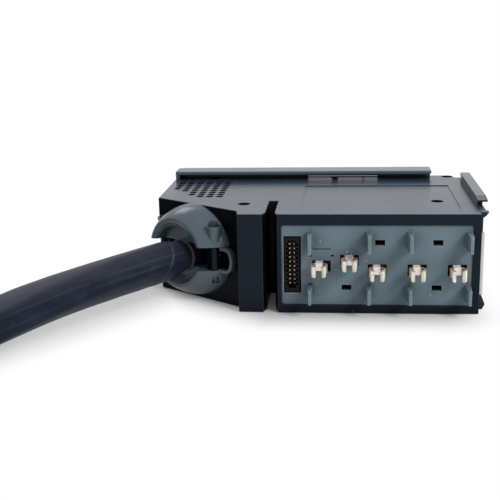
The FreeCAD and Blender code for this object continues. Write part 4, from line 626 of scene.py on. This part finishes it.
@dataclass(frozen=True)
class CableSheath(Finish):
    """Rubber sheath: fine lengthwise extrusion lines, dull scuffs, chalky rubs, a crease with a painted
    highlight, and a painted top light.

    Lines, scuffs, nicks and streaks are so many to a metre along the cable and to a turn round it.

    Attributes:
        crest: Colour of the upper side, a painted top light.
    """

    crest: Colour = (0.058, 0.063, 0.087)

    LINES = (26.0, 90.0, 1.0)
    LINE_GLOSS = 0.10
    LINE_HEIGHT = 0.00005
    SCUFFS = (55.0, 9.0, 1.0)
    SCUFF_FINENESS = 0.62
    SCUFF_SPAN = (0.42, 0.70)
    SCUFF_TINT = 1.45
    SCUFF_GLOSS = 0.20
    SCUFF_HEIGHT = 0.00009
    RUB_SIZE = 0.022
    RUB_SPAN = (0.48, 0.72)
    RUB_SHOW = 0.25
    RUB_COLOUR = (0.045, 0.052, 0.072)
    RUB_GLOSS = 0.06
    STREAKS = (9.0, 26.0, 1.0)
    STREAK_SPAN = (0.50, 0.78)
    STREAK_SHOW = 0.40
    STREAK_COLOUR = (0.075, 0.081, 0.105)
    NICKS = (130.0, 11.0, 1.0)
    NICK_REACH = 0.07
    NICK_SHOW = 0.4
    NICK_COLOUR = (0.11, 0.12, 0.14)
    NICK_DEPTH = 0.00004
    CREST_SPAN = (0.30, 0.95)
    CREST_START = 0.25
    CREST_GAIN = 0.60
    CREST_RUN = (0.03, 0.11)
    CREASE_SPAN = (0.0003, 0.0017)
    CREASE_PHASE = math.pi * 5 / 6
    CREASE_SHARPNESS = 8.0
    CREASE_HIGHLIGHT_SHOW = 0.45
    CREASE_HIGHLIGHT_COLOUR = (0.105, 0.112, 0.135)
    CREASE_HEIGHT = 0.0005
    SPECULAR = 0.06

    def crease(self, sheet: NodeSheet, along: Channel) -> Channel:
        """Draw the crease where the sheath folds.

        Args:
            sheet: The material's node tree.
            along: Metres along the cable and turns round it.

        Returns:
            One on the crease, nothing away from it.
        """
        run = sheet.part_of(along, Axis.X)
        turn = sheet.part_of(along, Axis.Y) * FULL_TURN
        lean = (turn + FULL_TURN / 4).wave() * FOLD_LEAN
        line = 1.0 - abs(run - FOLD_RUN + lean).between(*self.CREASE_SPAN)
        return line * (turn + self.CREASE_PHASE).wave().lifted() ** self.CREASE_SHARPNESS

    def paint(self, sheet: NodeSheet) -> None:
        """Fill the material's node tree.

        Args:
            sheet: The material's node tree.
        """
        along = sheet.channel("ShaderNodeUVMap", {"uv_map": RUN_MAP}, {}, "UV")
        lines = sheet.noise(1.0, Detail.RICH, sheet.stretched(self.LINES, along))
        scuffs = sheet.noise(1.0, Detail.BUSY, sheet.stretched(self.SCUFFS, along), self.SCUFF_FINENESS)
        rub = sheet.noise(self.RUB_SIZE, Detail.BUSY).between(*self.RUB_SPAN)
        streak = sheet.noise(1.0, Detail.RICH, sheet.stretched(self.STREAKS, along))
        streak = streak.between(*self.STREAK_SPAN)
        nick = sheet.cells(1.0, sheet.stretched(self.NICKS, along)) < self.NICK_REACH
        crease = self.crease(sheet, along)
        colour = sheet.mix(scuffs.between(*self.SCUFF_SPAN), self.colour, self.shade(self.SCUFF_TINT))
        colour = sheet.mix(rub * self.RUB_SHOW, colour, self.RUB_COLOUR)
        colour = sheet.mix(streak * self.STREAK_SHOW, colour, self.STREAK_COLOUR)
        colour = sheet.mix(nick * rub * self.NICK_SHOW, colour, self.NICK_COLOUR)
        run = sheet.part_of(along, Axis.X)
        # Painted top light: the upper side made lighter, more so further from the clamp.
        top_light_share = self.CREST_START + run.between(*self.CREST_RUN) * self.CREST_GAIN
        colour = sheet.mix(sheet.facing(Axis.Z).between(*self.CREST_SPAN) * top_light_share, colour, self.crest)
        # Painted highlight along the crease, on one side of the cable.
        colour = sheet.mix(crease * self.CREASE_HIGHLIGHT_SHOW, colour, self.CREASE_HIGHLIGHT_COLOUR)
        rough = self.roughness + scuffs.swing(self.SCUFF_GLOSS) - rub * self.RUB_GLOSS
        rough = rough + lines.swing(self.LINE_GLOSS)
        height = lines * self.LINE_HEIGHT + scuffs * self.SCUFF_HEIGHT - nick * self.NICK_DEPTH
        normal = sheet.bump(height + crease * self.CREASE_HEIGHT)
        inputs = {"Base Color": colour, "Roughness": rough, "Normal": normal}
        sheet.surface(inputs | {"Specular IOR Level": self.SPECULAR})


@dataclass(frozen=True)
class WireJacket(Finish):
    """Smooth wire insulation with faint bloom and drawing lines."""

    BLOOM_SIZE = 0.006
    BLOOM_SPAN = (0.4, 0.7)
    BLOOM_AND_TOP_LIGHT_SHOW = 0.5
    BLOOM_TINT = 1.4
    BLOOM_GLOSS = 0.2
    LINE_SIZE = 0.0004
    LINE_HEIGHT = 0.000008

    def paint(self, sheet: NodeSheet) -> None:
        """Fill the material's node tree.

        Args:
            sheet: The material's node tree.
        """
        bloom_and_top_light = sheet.noise(self.BLOOM_SIZE, Detail.RICH)
        lines = sheet.noise(self.LINE_SIZE, Detail.SOFT)
        shown = bloom_and_top_light.between(*self.BLOOM_SPAN) * self.BLOOM_AND_TOP_LIGHT_SHOW
        colour = sheet.mix(shown, self.colour, self.shade(self.BLOOM_TINT))
        rough = self.roughness + bloom_and_top_light.swing(self.BLOOM_GLOSS)
        normal = sheet.bump(lines * self.LINE_HEIGHT)
        sheet.surface({"Base Color": colour, "Roughness": rough, "Normal": normal})


@dataclass(frozen=True)
class CircuitBoard(Finish):
    """Solder mask over a raised pattern of tracks."""

    TRACKS_PER_METRE = 420.0
    TRACK_SPAN = (0.30, 0.36)
    TRACK_SHOW = 0.6
    TRACK_TINT = 1.9
    TRACK_HEIGHT = 0.00003
    WEAVE_SIZE = 0.0008
    WEAVE_SPAN = (0.4, 0.7)
    WEAVE_SHOW = 0.3
    WEAVE_TINT = 0.7
    WEAVE_GLOSS = 0.15
    WEAVE_HEIGHT = 0.00001

    def paint(self, sheet: NodeSheet) -> None:
        """Fill the material's node tree.

        Args:
            sheet: The material's node tree.
        """
        inputs = {"Vector": sheet.place(), "Scale": self.TRACKS_PER_METRE}
        squares = sheet.channel("ShaderNodeTexVoronoi", {"distance": "MANHATTAN"}, inputs)
        tracks = squares.between(*self.TRACK_SPAN)
        weave = sheet.noise(self.WEAVE_SIZE, Detail.PLAIN)
        colour = sheet.mix(tracks * self.TRACK_SHOW, self.colour, self.shade(self.TRACK_TINT))
        threads = weave.between(*self.WEAVE_SPAN) * self.WEAVE_SHOW
        colour = sheet.mix(threads, colour, self.shade(self.WEAVE_TINT))
        rough = self.roughness + weave.swing(self.WEAVE_GLOSS)
        normal = sheet.bump(tracks * self.TRACK_HEIGHT + weave * self.WEAVE_HEIGHT)
        sheet.surface({"Base Color": colour, "Roughness": rough, "Normal": normal})


@dataclass(frozen=True)
class WovenBand(Finish):
    """Woven hook-and-loop band.

    Attributes:
        thread: Distance between threads.
    """

    thread: float = 0.0007

    WEAVE_SPAN = (-0.6, 0.8)
    WEAVE_TINTS = (0.5, 1.5)
    WEAVE_HEIGHT = 0.00006
    FUZZ_SIZE = 0.0003
    FUZZ_SPAN = (0.5, 0.8)
    FUZZ_SHOW = 0.4
    FUZZ_TINT = 2.2
    FUZZ_GLOSS = 0.1
    FUZZ_HEIGHT = 0.00005

    def paint(self, sheet: NodeSheet) -> None:
        """Fill the material's node tree.

        Args:
            sheet: The material's node tree.
        """
        where = sheet.stretched((FULL_TURN / self.thread,) * 3)
        warp = sheet.part_of(where, Axis.Z).wave()
        weft = (sheet.part_of(where, Axis.X) + sheet.part_of(where, Axis.Y)).wave()
        weave = warp * weft
        fuzz = sheet.noise(self.FUZZ_SIZE, Detail.PLAIN)
        dark, light = (self.shade(tint) for tint in self.WEAVE_TINTS)
        colour = sheet.mix(weave.between(*self.WEAVE_SPAN), dark, light)
        hairs = fuzz.between(*self.FUZZ_SPAN) * self.FUZZ_SHOW
        colour = sheet.mix(hairs, colour, self.shade(self.FUZZ_TINT))
        rough = self.roughness + fuzz.swing(self.FUZZ_GLOSS)
        normal = sheet.bump(weave * self.WEAVE_HEIGHT + fuzz * self.FUZZ_HEIGHT)
        sheet.surface({"Base Color": colour, "Roughness": rough, "Normal": normal})


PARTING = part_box("housing_upper")[0][2]
# In these finishes bloom is a painted top light, matt a painted light on the connector's side, rubbed pale
# worn edges with a painted highlight, and grime a painted shade in corners.
BLACK_SHELL = MouldedPlastic(
    "black_shell", (0.0022, 0.0032, 0.0052), roughness=0.30, grain=Grain.SATIN, clouding=0.12, wear_and_highlight=0.80,
    dust=0.20, seam=PARTING, specular=0.06, corner_shade=0.8, polish=0.42, bloom_and_top_light=(0.020, 0.041, 0.076),
    matt=(0.0120, 0.0180, 0.0270))
BLACK_GUIDE = MouldedPlastic(
    "black_guide", (0.013, 0.020, 0.030), roughness=0.30, grain=Grain.SATIN, wear_and_highlight=0.40, specular=0.20,
    corner_shade=0.5, polish=0.36, bloom_and_top_light=(0.024, 0.036, 0.055))
GREY_COVER = MouldedPlastic(
    "grey_cover", (0.074, 0.109, 0.134), roughness=0.26, grain=Grain.SATIN, clouding=0.05, wear_and_highlight=0.35,
    specular=0.42, corner_shade=0.72)
GREY_FRAME = MouldedPlastic(
    "grey_frame", (0.082, 0.119, 0.146), roughness=0.30, grain=Grain.SATIN, clouding=0.05, wear_and_highlight=0.35,
    specular=0.30, corner_shade=0.95, bloom_and_top_light=(0.125, 0.172, 0.203))
GREY_PANEL = MouldedPlastic(
    "grey_panel", (0.148, 0.210, 0.248), roughness=0.46, clouding=0.06, wear_and_highlight=1.0, dust=1.0,
    specular=0.20, corner_shade=0.95, edge_width=0.0007)
PALE_PAD = MouldedPlastic(
    "pale_pad", (0.62, 0.64, 0.65), roughness=0.45, grain=Grain.SMOOTH, clouding=0.04, wear_and_highlight=0.2)
BLACK_SOCKET = MouldedPlastic(
    "black_socket", (0.0030, 0.0045, 0.0080), roughness=0.38, grain=Grain.SMOOTH, wear_and_highlight=0.25,
    specular=0.14)
RING_PLASTIC = MouldedPlastic(
    "ring_plastic", (0.115, 0.105, 0.098), roughness=0.5, grain=Grain.SMOOTH, clouding=0.08, wear_and_highlight=0.3,
    specular=0.3)
BREAKER_CASE = MouldedPlastic(
    "breaker_case", (0.46, 0.47, 0.47), roughness=0.42, clouding=0.05, wear_and_highlight=0.3, dust=0.3)
HANDLE_PLASTIC = MouldedPlastic(
    "handle_plastic", (0.012, 0.012, 0.014), roughness=0.26, grain=Grain.SMOOTH, clouding=0.08)
TRANSFORMER_CASE = MouldedPlastic(
    "transformer_case", (0.014, 0.014, 0.016), roughness=0.22, grain=Grain.SMOOTH, wear_and_highlight=0.3)
CONNECTOR_PLASTIC = MouldedPlastic(
    "connector_plastic", (0.012, 0.015, 0.020), roughness=0.30, grain=Grain.SPARK, dust=0.3, specular=0.35)
FACE_PLASTIC = MouldedPlastic(
    "face_plastic", (0.088, 0.120, 0.140), roughness=0.45, clouding=0.06, wear_and_highlight=0.3, dust=0.4,
    specular=0.35)
NUT_PLASTIC = MouldedPlastic(
    "nut_plastic", (0.011, 0.013, 0.017), roughness=0.40, grain=Grain.SPARK, wear_and_highlight=0.6, dust=0.3,
    specular=0.35)
TINNED_COPPER = TinnedSheet("tinned_copper", (1.0, 0.985, 0.94), roughness=0.36)
GILT_CONTACT = PlatedMetal(
    "gilt_contact", (1.0, 0.86, 0.60), roughness=0.24, lines=(1.0, 0.1, 1.0), patch=0.001)
ZINC_STEEL = PlatedMetal("zinc_steel", (0.60, 0.61, 0.60), roughness=0.30)
BLACK_STEEL = PlatedMetal("black_steel", (0.070, 0.073, 0.080), roughness=0.22)
CABLE_RUBBER = CableSheath("cable_sheath", (0.0125, 0.0172, 0.0300), roughness=0.44)
BLACK_WIRE = WireJacket("black_wire", (0.018, 0.018, 0.018), roughness=0.35)
BLUE_WIRE = WireJacket("blue_wire", (0.03, 0.10, 0.42), roughness=0.35)
GREEN_WIRE = WireJacket("green_wire", (0.05, 0.28, 0.06), roughness=0.35)
BOARD_MASK = CircuitBoard("board", (0.003, 0.010, 0.007), roughness=0.40)
TIE_FABRIC = WovenBand("tie_fabric", (0.022, 0.022, 0.024), roughness=0.85)


@dataclass
class SubAssembly:
    """A group of pieces that are dressed together."""

    def dress(self, node: str, finish: Finish) -> None:
        """Give a CAD node its finish.

        Args:
            node: Name of the node.
            finish: Finish that it gets.
        """
        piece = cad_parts[node]
        piece.data.materials.clear()
        piece.data.materials.append(finish.material())
        LOG.info("dressed %s in %s", node, finish.name)

    def build(self) -> None:
        """Make and dress the pieces."""
        raise NotImplementedError


@dataclass
class Enclosure(SubAssembly):
    """Shells, bezel and guides."""

    shells: tuple[str, ...] = ("housing_upper", "housing_lower")
    guides: tuple[str, ...] = ("guide_rail", "rail_base", "end_guide")

    def build(self) -> None:
        """Make and dress the pieces."""
        for node in self.shells:
            self.dress(node, BLACK_SHELL)
        for node in self.guides:
            self.dress(node, BLACK_GUIDE)
        self.dress("front_bezel", GREY_FRAME)
        self.dress("end_pad", PALE_PAD)
        self.dress("housing_screws", ZINC_STEEL)


@dataclass
class ConnectorFace(SubAssembly):
    """Panel with the busbar jaws and the signal socket."""

    lines: int = 3

    def build(self) -> None:
        """Make and dress the pieces."""
        self.dress("connector_panel", GREY_PANEL)
        self.dress("contact_insert", GREY_PANEL)
        self.dress("contact_neutral", TINNED_COPPER)
        self.dress("contact_earth", TINNED_COPPER)
        for index in range(self.lines):
            self.dress(f"contact_line_{index + 1}", TINNED_COPPER)
        self.dress("signal_connector", BLACK_SOCKET)
        self.dress("signal_contacts", GILT_CONTACT)
        self.dress("sensor_board", BOARD_MASK)
        self.dress("current_transformers", TRANSFORMER_CASE)


@dataclass
class BreakerUnit(SubAssembly):
    """Breaker, its rail and the inner wires."""

    poles: int = 3

    def build(self) -> None:
        """Make and dress the pieces."""
        for index in range(self.poles):
            self.dress(f"breaker_pole_{index + 1}", BREAKER_CASE)
        self.dress("breaker_handle", HANDLE_PLASTIC)
        self.dress("handle_pin", ZINC_STEEL)
        self.dress("mounting_rail", ZINC_STEEL)
        self.dress("line_wires", BLACK_WIRE)
        self.dress("load_wires", BLACK_WIRE)
        self.dress("neutral_wire", BLUE_WIRE)
        self.dress("earth_wire", GREEN_WIRE)


@dataclass
class CableClamp(SubAssembly):
    """Two domed halves, their screws and the entry ring."""

    def build(self) -> None:
        """Make and dress the pieces."""
        self.dress("clamp_upper", GREY_COVER)
        self.dress("clamp_lower", GREY_COVER)
        self.dress("clamp_screws", BLACK_STEEL)
        self.dress("entry_ring", RING_PLASTIC)


@dataclass
class OutputCable(SubAssembly):
    """Cable from the clamp to its coil, with the in-line connector at its end.

    Attributes:
        diameter: Diameter of the cable as it is sold; not used.
        ridge_diameter: Diameter over the ridges that the cores press out.
        length: Length of the cable as it is sold; not used.
        route: Control points from the clamp to the coil.
        coil_centre: Middle of the coil on the floor.
        coil_radius: Radius at the middle of its turns.
        coil_start: Angle at which the route reaches the coil, in degrees.
        coil_low: Height of the first turn.
        coil_high: Height of the turn on top of it.
        turn_points: Control points in one turn.
        travel: Angle that the cable goes round the coil, in degrees.
        rise: From where to where in that travel it climbs.
        tail: Control points from the coil to the connector.
        line_steps: Steps that the spline takes from one control point to the next.
        neck_diameter: Diameter inside the clamp.
        neck_run: Where the neck widens, along the cable.
        cores: Number of cores, with a flat side between each two.
        flatness: How far the sides are pressed flat.
        twist: Turns of the cores in a metre.
        slack_depth: How far the sides ripple.
        slack_beat: Pace of the ripples along the cable.
        slack_start: Where the ripples start.
        slack_lobes: Ripples in one turn.
        slack_drift: How fast the ripples go round along the cable.
        fold_width: Width of the fold near the clamp.
        fold_height: Height of that fold.
        around: Corners of one ring of the mesh.
    """

    diameter: float = 0.023
    ridge_diameter: float = 0.0242
    length: float = 1.40
    route: tuple[Point, ...] = (
        (-0.06655, -0.02014, 0.0269),
        (-0.09572, -0.06074, 0.0269),
        (-0.12690, -0.10464, 0.0255),
        (-0.15330, -0.14044, 0.0210),
        (-0.18330, -0.17994, 0.0145),
        (-0.21830, -0.21094, 0.0126),
        (-0.26340, -0.23494, 0.0125),
    )
    coil_centre: tuple[float, float] = (-0.3123, -0.11794)
    coil_radius: float = 0.124
    coil_start: float = -90.0
    coil_low: float = 0.0125
    coil_high: float = 0.0357
    turn_points: int = 14
    travel: float = 450.0
    rise: Span = (205.0, 285.0)
    tail: tuple[Point, ...] = ((-0.4375, -0.0659, 0.0340), (-0.4363, -0.0179, 0.0290))
    line_steps: int = 24
    neck_diameter: float = 0.0180
    neck_run: Span = (0.019, 0.033)
    cores: int = 5
    flatness: float = 0.44
    twist: float = 0.9
    slack_depth: float = 0.012
    slack_beat: float = 41.0
    slack_start: float = 1.3
    slack_lobes: int = 2
    slack_drift: float = 17.0
    fold_width: float = 0.0020
    fold_height: float = 0.00070
    around: int = 60

    ENDS = 2

    def control_points(self) -> list[Point]:
        """Work out the spline's control points.

        Returns:
            Those of the route, the coil and the tail.
        """
        points = list(self.route)
        step = 360.0 / self.turn_points
        reach = self.coil_radius / math.cos(math.radians(step / 2))
        count = int(self.travel / step) + 1
        for index in range(count):
            travelled = index * self.travel / (count - 1)
            angle = math.radians(self.coil_start - travelled)
            share = eased(clamped(travelled, self.rise))
            height = self.coil_low + (self.coil_high - self.coil_low) * share
            points.append((self.coil_centre[0] + reach * math.cos(angle),
                           self.coil_centre[1] + reach * math.sin(angle), height))
        return points + list(self.tail)

    def centre_line(self) -> list[Vector]:
        """Lead the spline along its control points.

        Returns:
            Points read from the spline.
        """
        curve = bpy.data.curves.new("cable_line", "CURVE")
        curve.dimensions = "3D"
        curve.resolution_u = self.line_steps
        spline = curve.splines.new("NURBS")
        points = self.control_points()
        spline.points.add(len(points) - 1)
        for target, place in zip(spline.points, points):
            target.co = (*place, 1.0)
        spline.order_u = 3
        spline.use_endpoint_u = True
        holder = bpy.data.objects.new("cable_line", curve)
        bpy.context.scene.collection.objects.link(holder)
        bpy.context.view_layer.update()
        depsgraph = bpy.context.evaluated_depsgraph_get()
        mesh = bpy.data.meshes.new_from_object(holder.evaluated_get(depsgraph))
        line = [vertex.co.copy() for vertex in mesh.vertices]
        bpy.data.objects.remove(holder)
        bpy.data.curves.remove(curve)
        bpy.data.meshes.remove(mesh)
        return line

    def ring_radius(self, turn: float, run: float) -> float:
        """Work out the radius of the sheath, pressed flat between its cores.

        Args:
            turn: Angle round the cable.
            run: Distance along the cable.

        Returns:
            The radius in metres.
        """
        share = clamped(run, self.neck_run)
        radius = (self.neck_diameter + (self.ridge_diameter - self.neck_diameter) * share) / 2
        sector = FULL_TURN / self.cores
        inside = (turn + self.twist * run * FULL_TURN) % sector - sector / 2
        flat = math.cos(sector / 2) / math.cos(inside)
        ripple = math.sin(run * self.slack_beat + self.slack_start)
        ripple *= math.cos(turn * self.slack_lobes + run * self.slack_drift)
        slack = self.slack_depth * (1.0 + ripple) / 2
        pressed = share * (self.flatness * (1.0 - flat) + slack)
        behind = (run - FOLD_RUN + FOLD_LEAN * math.cos(turn)) / self.fold_width
        near_side = ((1.0 - math.sin(turn)) / 2) ** 2
        fold = self.fold_height * math.exp(-behind * behind) * near_side
        return radius * (1.0 - pressed) + share * min(fold, radius * pressed)

    def rings(self, line: list[Vector]) -> tuple[list[Vector], list[float]]:
        """Set rings of the sheath along its centre line.

        Args:
            line: Points that it follows.

        Returns:
            The corners, ring by ring, and each ring's distance along the cable.
        """
        corners: list[Vector] = []
        runs: list[float] = []
        run = 0.0
        side = Vector((0.0, 0.0, 1.0))
        for index, place in enumerate(line):
            before = line[max(index - 1, 0)]
            after = line[min(index + 1, len(line) - 1)]
            heading = (after - before).normalized()
            side = (side - heading * side.dot(heading)).normalized()
            across = heading.cross(side)
            run += (place - before).length
            runs.append(run)
            for step in range(self.around):
                turn = FULL_TURN * step / self.around
                radius = self.ring_radius(turn, run)
                beside = place + side * (radius * math.cos(turn))
                corners.append(beside + across * (radius * math.sin(turn)))
        return corners, runs

    def skin(self, runs: list[float]) -> tuple[list[tuple[int, ...]], list[Span]]:
        """Join the rings with faces and close both ends.

        Args:
            runs: Distance of each ring along the cable.

        Returns:
            The faces, and the run and turn at each of their corners.
        """
        faces: list[tuple[int, ...]] = []
        coords: list[Span] = []
        for ring in range(len(runs) - 1):
            low = ring * self.around
            high = low + self.around
            for step in range(self.around):
                following = (step + 1) % self.around
                faces.append((low + step, low + following, high + following, high + step))
                left = step / self.around
                right = (step + 1) / self.around
                coords += [(runs[ring], left), (runs[ring], right)]
                coords += [(runs[ring + 1], right), (runs[ring + 1], left)]
        last = (len(runs) - 1) * self.around
        faces.append(tuple(reversed(range(self.around))))
        faces.append(tuple(range(last, last + self.around)))
        coords += [(0.0, 0.0)] * (self.ENDS * self.around)
        return faces, coords

    def sheath(self, line: list[Vector]) -> bpy.types.Object:
        """Make the tube of the sheath.

        Args:
            line: Points that it follows.

        Returns:
            The tube.
        """
        corners, runs = self.rings(line)
        faces, coords = self.skin(runs)
        mesh = bpy.data.meshes.new("cable")
        mesh.from_pydata(corners, [], faces)
        layer = mesh.uv_layers.new(name=RUN_MAP)
        for loop, coord in zip(layer.data, coords):
            loop.uv = coord
        smooth = [True] * (len(faces) - self.ENDS) + [False] * self.ENDS
        mesh.polygons.foreach_set("use_smooth", smooth)
        mesh.materials.append(CABLE_RUBBER.material())
        tube = bpy.data.objects.new("cable", mesh)
        bpy.context.scene.collection.objects.link(tube)
        return tube

    def build(self) -> None:
        """Make and dress the pieces."""
        line = self.centre_line()
        measured = sum((b - a).length for a, b in zip(line, line[1:]))
        tube = self.sheath(line)
        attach(tube, BODY)
        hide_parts("cable_lead", "cable_coil", "cable_tail")
        LOG.info("made cable, %.3f m along its line", measured)
        self.dress("coil_tie", TIE_FABRIC)
        self.dress("connector_nut", NUT_PLASTIC)
        self.dress("connector_shell", CONNECTOR_PLASTIC)
        self.dress("connector_face", FACE_PLASTIC)


@dataclass(frozen=True)
class Lamp:
    """A soft rectangular studio lamp."""

    name: str
    place: Point
    aim: Point
    size: Span
    power: float

    def build(self) -> None:
        """Hang the lamp."""
        data = bpy.data.lights.new(self.name, "AREA")
        data.shape = "RECTANGLE"
        data.size, data.size_y = self.size
        data.energy = self.power
        lamp = bpy.data.objects.new(self.name, data)
        lamp.location = self.place
        lamp.rotation_mode = "QUATERNION"
        lamp.rotation_quaternion = (Vector(self.aim) - Vector(self.place)).to_track_quat("-Z", "Y")
        bpy.context.scene.collection.objects.link(lamp)
        LOG.info("hung lamp %s", self.name)


@dataclass
class Floor:
    """Pale paper floor, white where it shows and shaded close to the object.

    Attributes:
        cable: Cable whose coil lies on the floor.
        size: Side of the floor.
        drop: How far it lies below the object.
        tone: Brightness of the paper.
        case_fade: From where to where, away from the case, the floor turns white.
        footprint: Half the length and width of the case on the floor.
        footprint_shift: How far left its middle is.
        slant: Direction in which the cable leaves the slanted wall.
        slant_offset: How far that way the wall's shade starts.
        cable_foot: Where the cable's shade starts.
        cable_fade: From where to where, beside the cable, the floor turns white.
        cable_reach: Length of the cable's shade.
        cable_glow: How white the floor is under the cable.
        coil_fade: From where to where, beside the coil, the floor turns white.
        coil_limit: Right-hand limit of the coil's shade.
        coil_glow: How white the floor is under the coil.
    """

    cable: OutputCable
    size: float = 12.0
    drop: float = 0.0003
    tone: float = 0.74
    case_fade: Span = (-0.002, 0.036)
    footprint: tuple[float, float] = (0.082, 0.058)
    footprint_shift: float = 0.008
    slant: tuple[float, float] = (-0.58, -0.81)
    slant_offset: float = 0.058
    cable_foot: tuple[float, float] = (-0.0905, -0.0030)
    cable_fade: Span = (0.006, 0.046)
    cable_reach: float = 0.16
    cable_glow: float = 0.30
    coil_fade: Span = (0.012, 0.040)
    coil_limit: float = -0.25
    coil_glow: float = 0.15

    def case_share(self, x: Channel, y: Channel) -> Channel:
        """Let the floor turn white away from the case.

        Args:
            x: Place on the floor from left to right.
            y: Place on the floor from front to back.

        Returns:
            How white the floor is there.
        """
        past_end = (abs(x + self.footprint_shift) - self.footprint[0]).largest(0.0)
        past_side = (abs(y) - self.footprint[1]).largest(0.0)
        across, back = self.slant
        past_wall = x * across + y * back - self.slant_offset
        return past_end.distance(past_side).largest(past_wall).between(*self.case_fade)

    def cable_share(self, x: Channel, y: Channel) -> Channel:
        """Let the floor turn white away from the cable.

        Args:
            x: Place on the floor from left to right.
            y: Place on the floor from front to back.

        Returns:
            How white the floor is there.
        """
        across, back = self.slant
        from_x = x - self.cable_foot[0]
        from_y = y - self.cable_foot[1]
        beside = abs(from_x * back - from_y * across)
        along = from_x * across + from_y * back
        away = beside.largest(-along).largest(along - self.cable_reach)
        return self.cable_glow + away.between(*self.cable_fade) * (1.0 - self.cable_glow)

    def coil_share(self, x: Channel, y: Channel) -> Channel:
        """Let the floor turn white away from the coil.

        Args:
            x: Place on the floor from left to right.
            y: Place on the floor from front to back.

        Returns:
            How white the floor is there.
        """
        from_x = x - self.cable.coil_centre[0]
        from_y = y - self.cable.coil_centre[1]
        beside = abs(from_x.distance(from_y) - self.cable.coil_radius)
        away = beside.largest(x - self.coil_limit)
        return self.coil_glow + away.between(*self.coil_fade) * (1.0 - self.coil_glow)

    def paper(self) -> bpy.types.Material:
        """Make the paper, which keeps the object's shadow.

        Returns:
            The material.
        """
        material = bpy.data.materials.new("pale_floor")
        material.use_nodes = True
        sheet = NodeSheet(material.node_tree)
        tone = (self.tone, self.tone, self.tone, 1.0)
        pale = sheet.channel("ShaderNodeBsdfDiffuse", {}, {"Color": tone})
        glow = sheet.channel("ShaderNodeEmission", {}, {"Color": WHITE, "Strength": 1.0})
        place = sheet.place()
        x = sheet.part_of(place, Axis.X)
        y = sheet.part_of(place, Axis.Y)
        # Glow held back near the case, along the cable and round the coil: the real shadow shows there,
        # and the paper's grey there is also a painted shade.
        share = self.case_share(x, y).smallest(self.cable_share(x, y)).smallest(self.coil_share(x, y))
        shown = sheet.channel("ShaderNodeMixShader", {}, {0: sheet.seen() * share, 1: pale, 2: glow})
        sheet.add("ShaderNodeOutputMaterial", {}, {"Surface": shown})
        return material

    def build(self) -> None:
        """Lay the floor."""
        half = self.size / 2
        corners = [(-half, -half, 0.0), (half, -half, 0.0), (half, half, 0.0), (-half, half, 0.0)]
        mesh = bpy.data.meshes.new("floor")
        mesh.from_pydata(corners, [], [tuple(range(len(corners)))])
        mesh.materials.append(self.paper())
        floor = bpy.data.objects.new("floor", mesh)
        floor.location = (0.0, 0.0, -self.drop)
        bpy.context.scene.collection.objects.link(floor)
        LOG.info("laid floor")


@dataclass
class Studio:
    """Camera, floor, lamps and white surroundings.

    Attributes:
        floor: Floor that the object stands on.
        eye: Place of the camera.
        ahead: Direction in which it looks.
        up: Direction that is up in the picture.
        lens: Focal length in millimetres.
        sensor: Width of the picture in the camera, in millimetres.
        near_clip: Nearest distance that the camera sees.
        sky: Strength of the light from all round.
        lamps: Lamps round the object.
    """

    floor: Floor
    eye: Point = (0.0182, -0.5542, 0.1709)
    ahead: Point = (-0.09993, 0.96047, -0.25983)
    up: Point = (-0.00363, 0.26078, 0.96539)
    lens: float = 66.47
    sensor: float = 36.0
    near_clip: float = 0.01
    sky: float = 0.50
    lamps: tuple[Lamp, ...] = (
        Lamp("key", place=(0.50, -0.50, 0.50), aim=(0.0, 0.0, 0.03), size=(0.26, 0.26), power=3.4),
        Lamp("top", place=(-0.65, 0.60, 1.05), aim=(0.0, 0.0, 0.03), size=(0.5, 0.5), power=3.0),
    )

    def camera(self) -> None:
        """Set the camera at the photograph's viewpoint."""
        data = bpy.data.cameras.new("camera")
        data.sensor_width = self.sensor
        data.lens = self.lens
        data.clip_start = self.near_clip
        camera = bpy.data.objects.new("camera", data)
        back = -Vector(self.ahead).normalized()
        right = Vector(self.up).cross(back).normalized()
        up = back.cross(right)
        rotation = Matrix((right, up, back)).transposed()
        camera.matrix_world = Matrix.Translation(self.eye) @ rotation.to_4x4()
        bpy.context.scene.collection.objects.link(camera)
        bpy.context.scene.camera = camera

    def surroundings(self) -> None:
        """Set the sky: white where it shows, calmer where it only lights."""
        world = bpy.data.worlds.new("studio")
        world.use_nodes = True
        sheet = NodeSheet(world.node_tree)
        light = sheet.channel("ShaderNodeBackground", {}, {"Color": WHITE, "Strength": self.sky})
        white = sheet.channel("ShaderNodeBackground", {}, {"Color": WHITE, "Strength": 1.0})
        both = sheet.channel("ShaderNodeMixShader", {}, {0: sheet.seen(), 1: light, 2: white})
        sheet.add("ShaderNodeOutputWorld", {}, {"Surface": both})
        bpy.context.scene.world = world

    def build(self) -> None:
        """Set up everything round the object."""
        bpy.context.scene.view_settings.view_transform = "Standard"
        self.camera()
        self.floor.build()
        self.surroundings()
        for lamp in self.lamps:
            lamp.build()


def main() -> None:
    """Build every sub-assembly and the studio."""
    logging.basicConfig(level=logging.INFO, format="%(name)s %(message)s")
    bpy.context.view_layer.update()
    cable = OutputCable()
    Studio(Floor(cable)).build()
    for assembly in (cable, Enclosure(), ConnectorFace(), BreakerUnit(), CableClamp()):
        assembly.build()
        LOG.info("finished %s", type(assembly).__name__)
    bpy.context.view_layer.update()


if __name__ == "__main__":
    main()
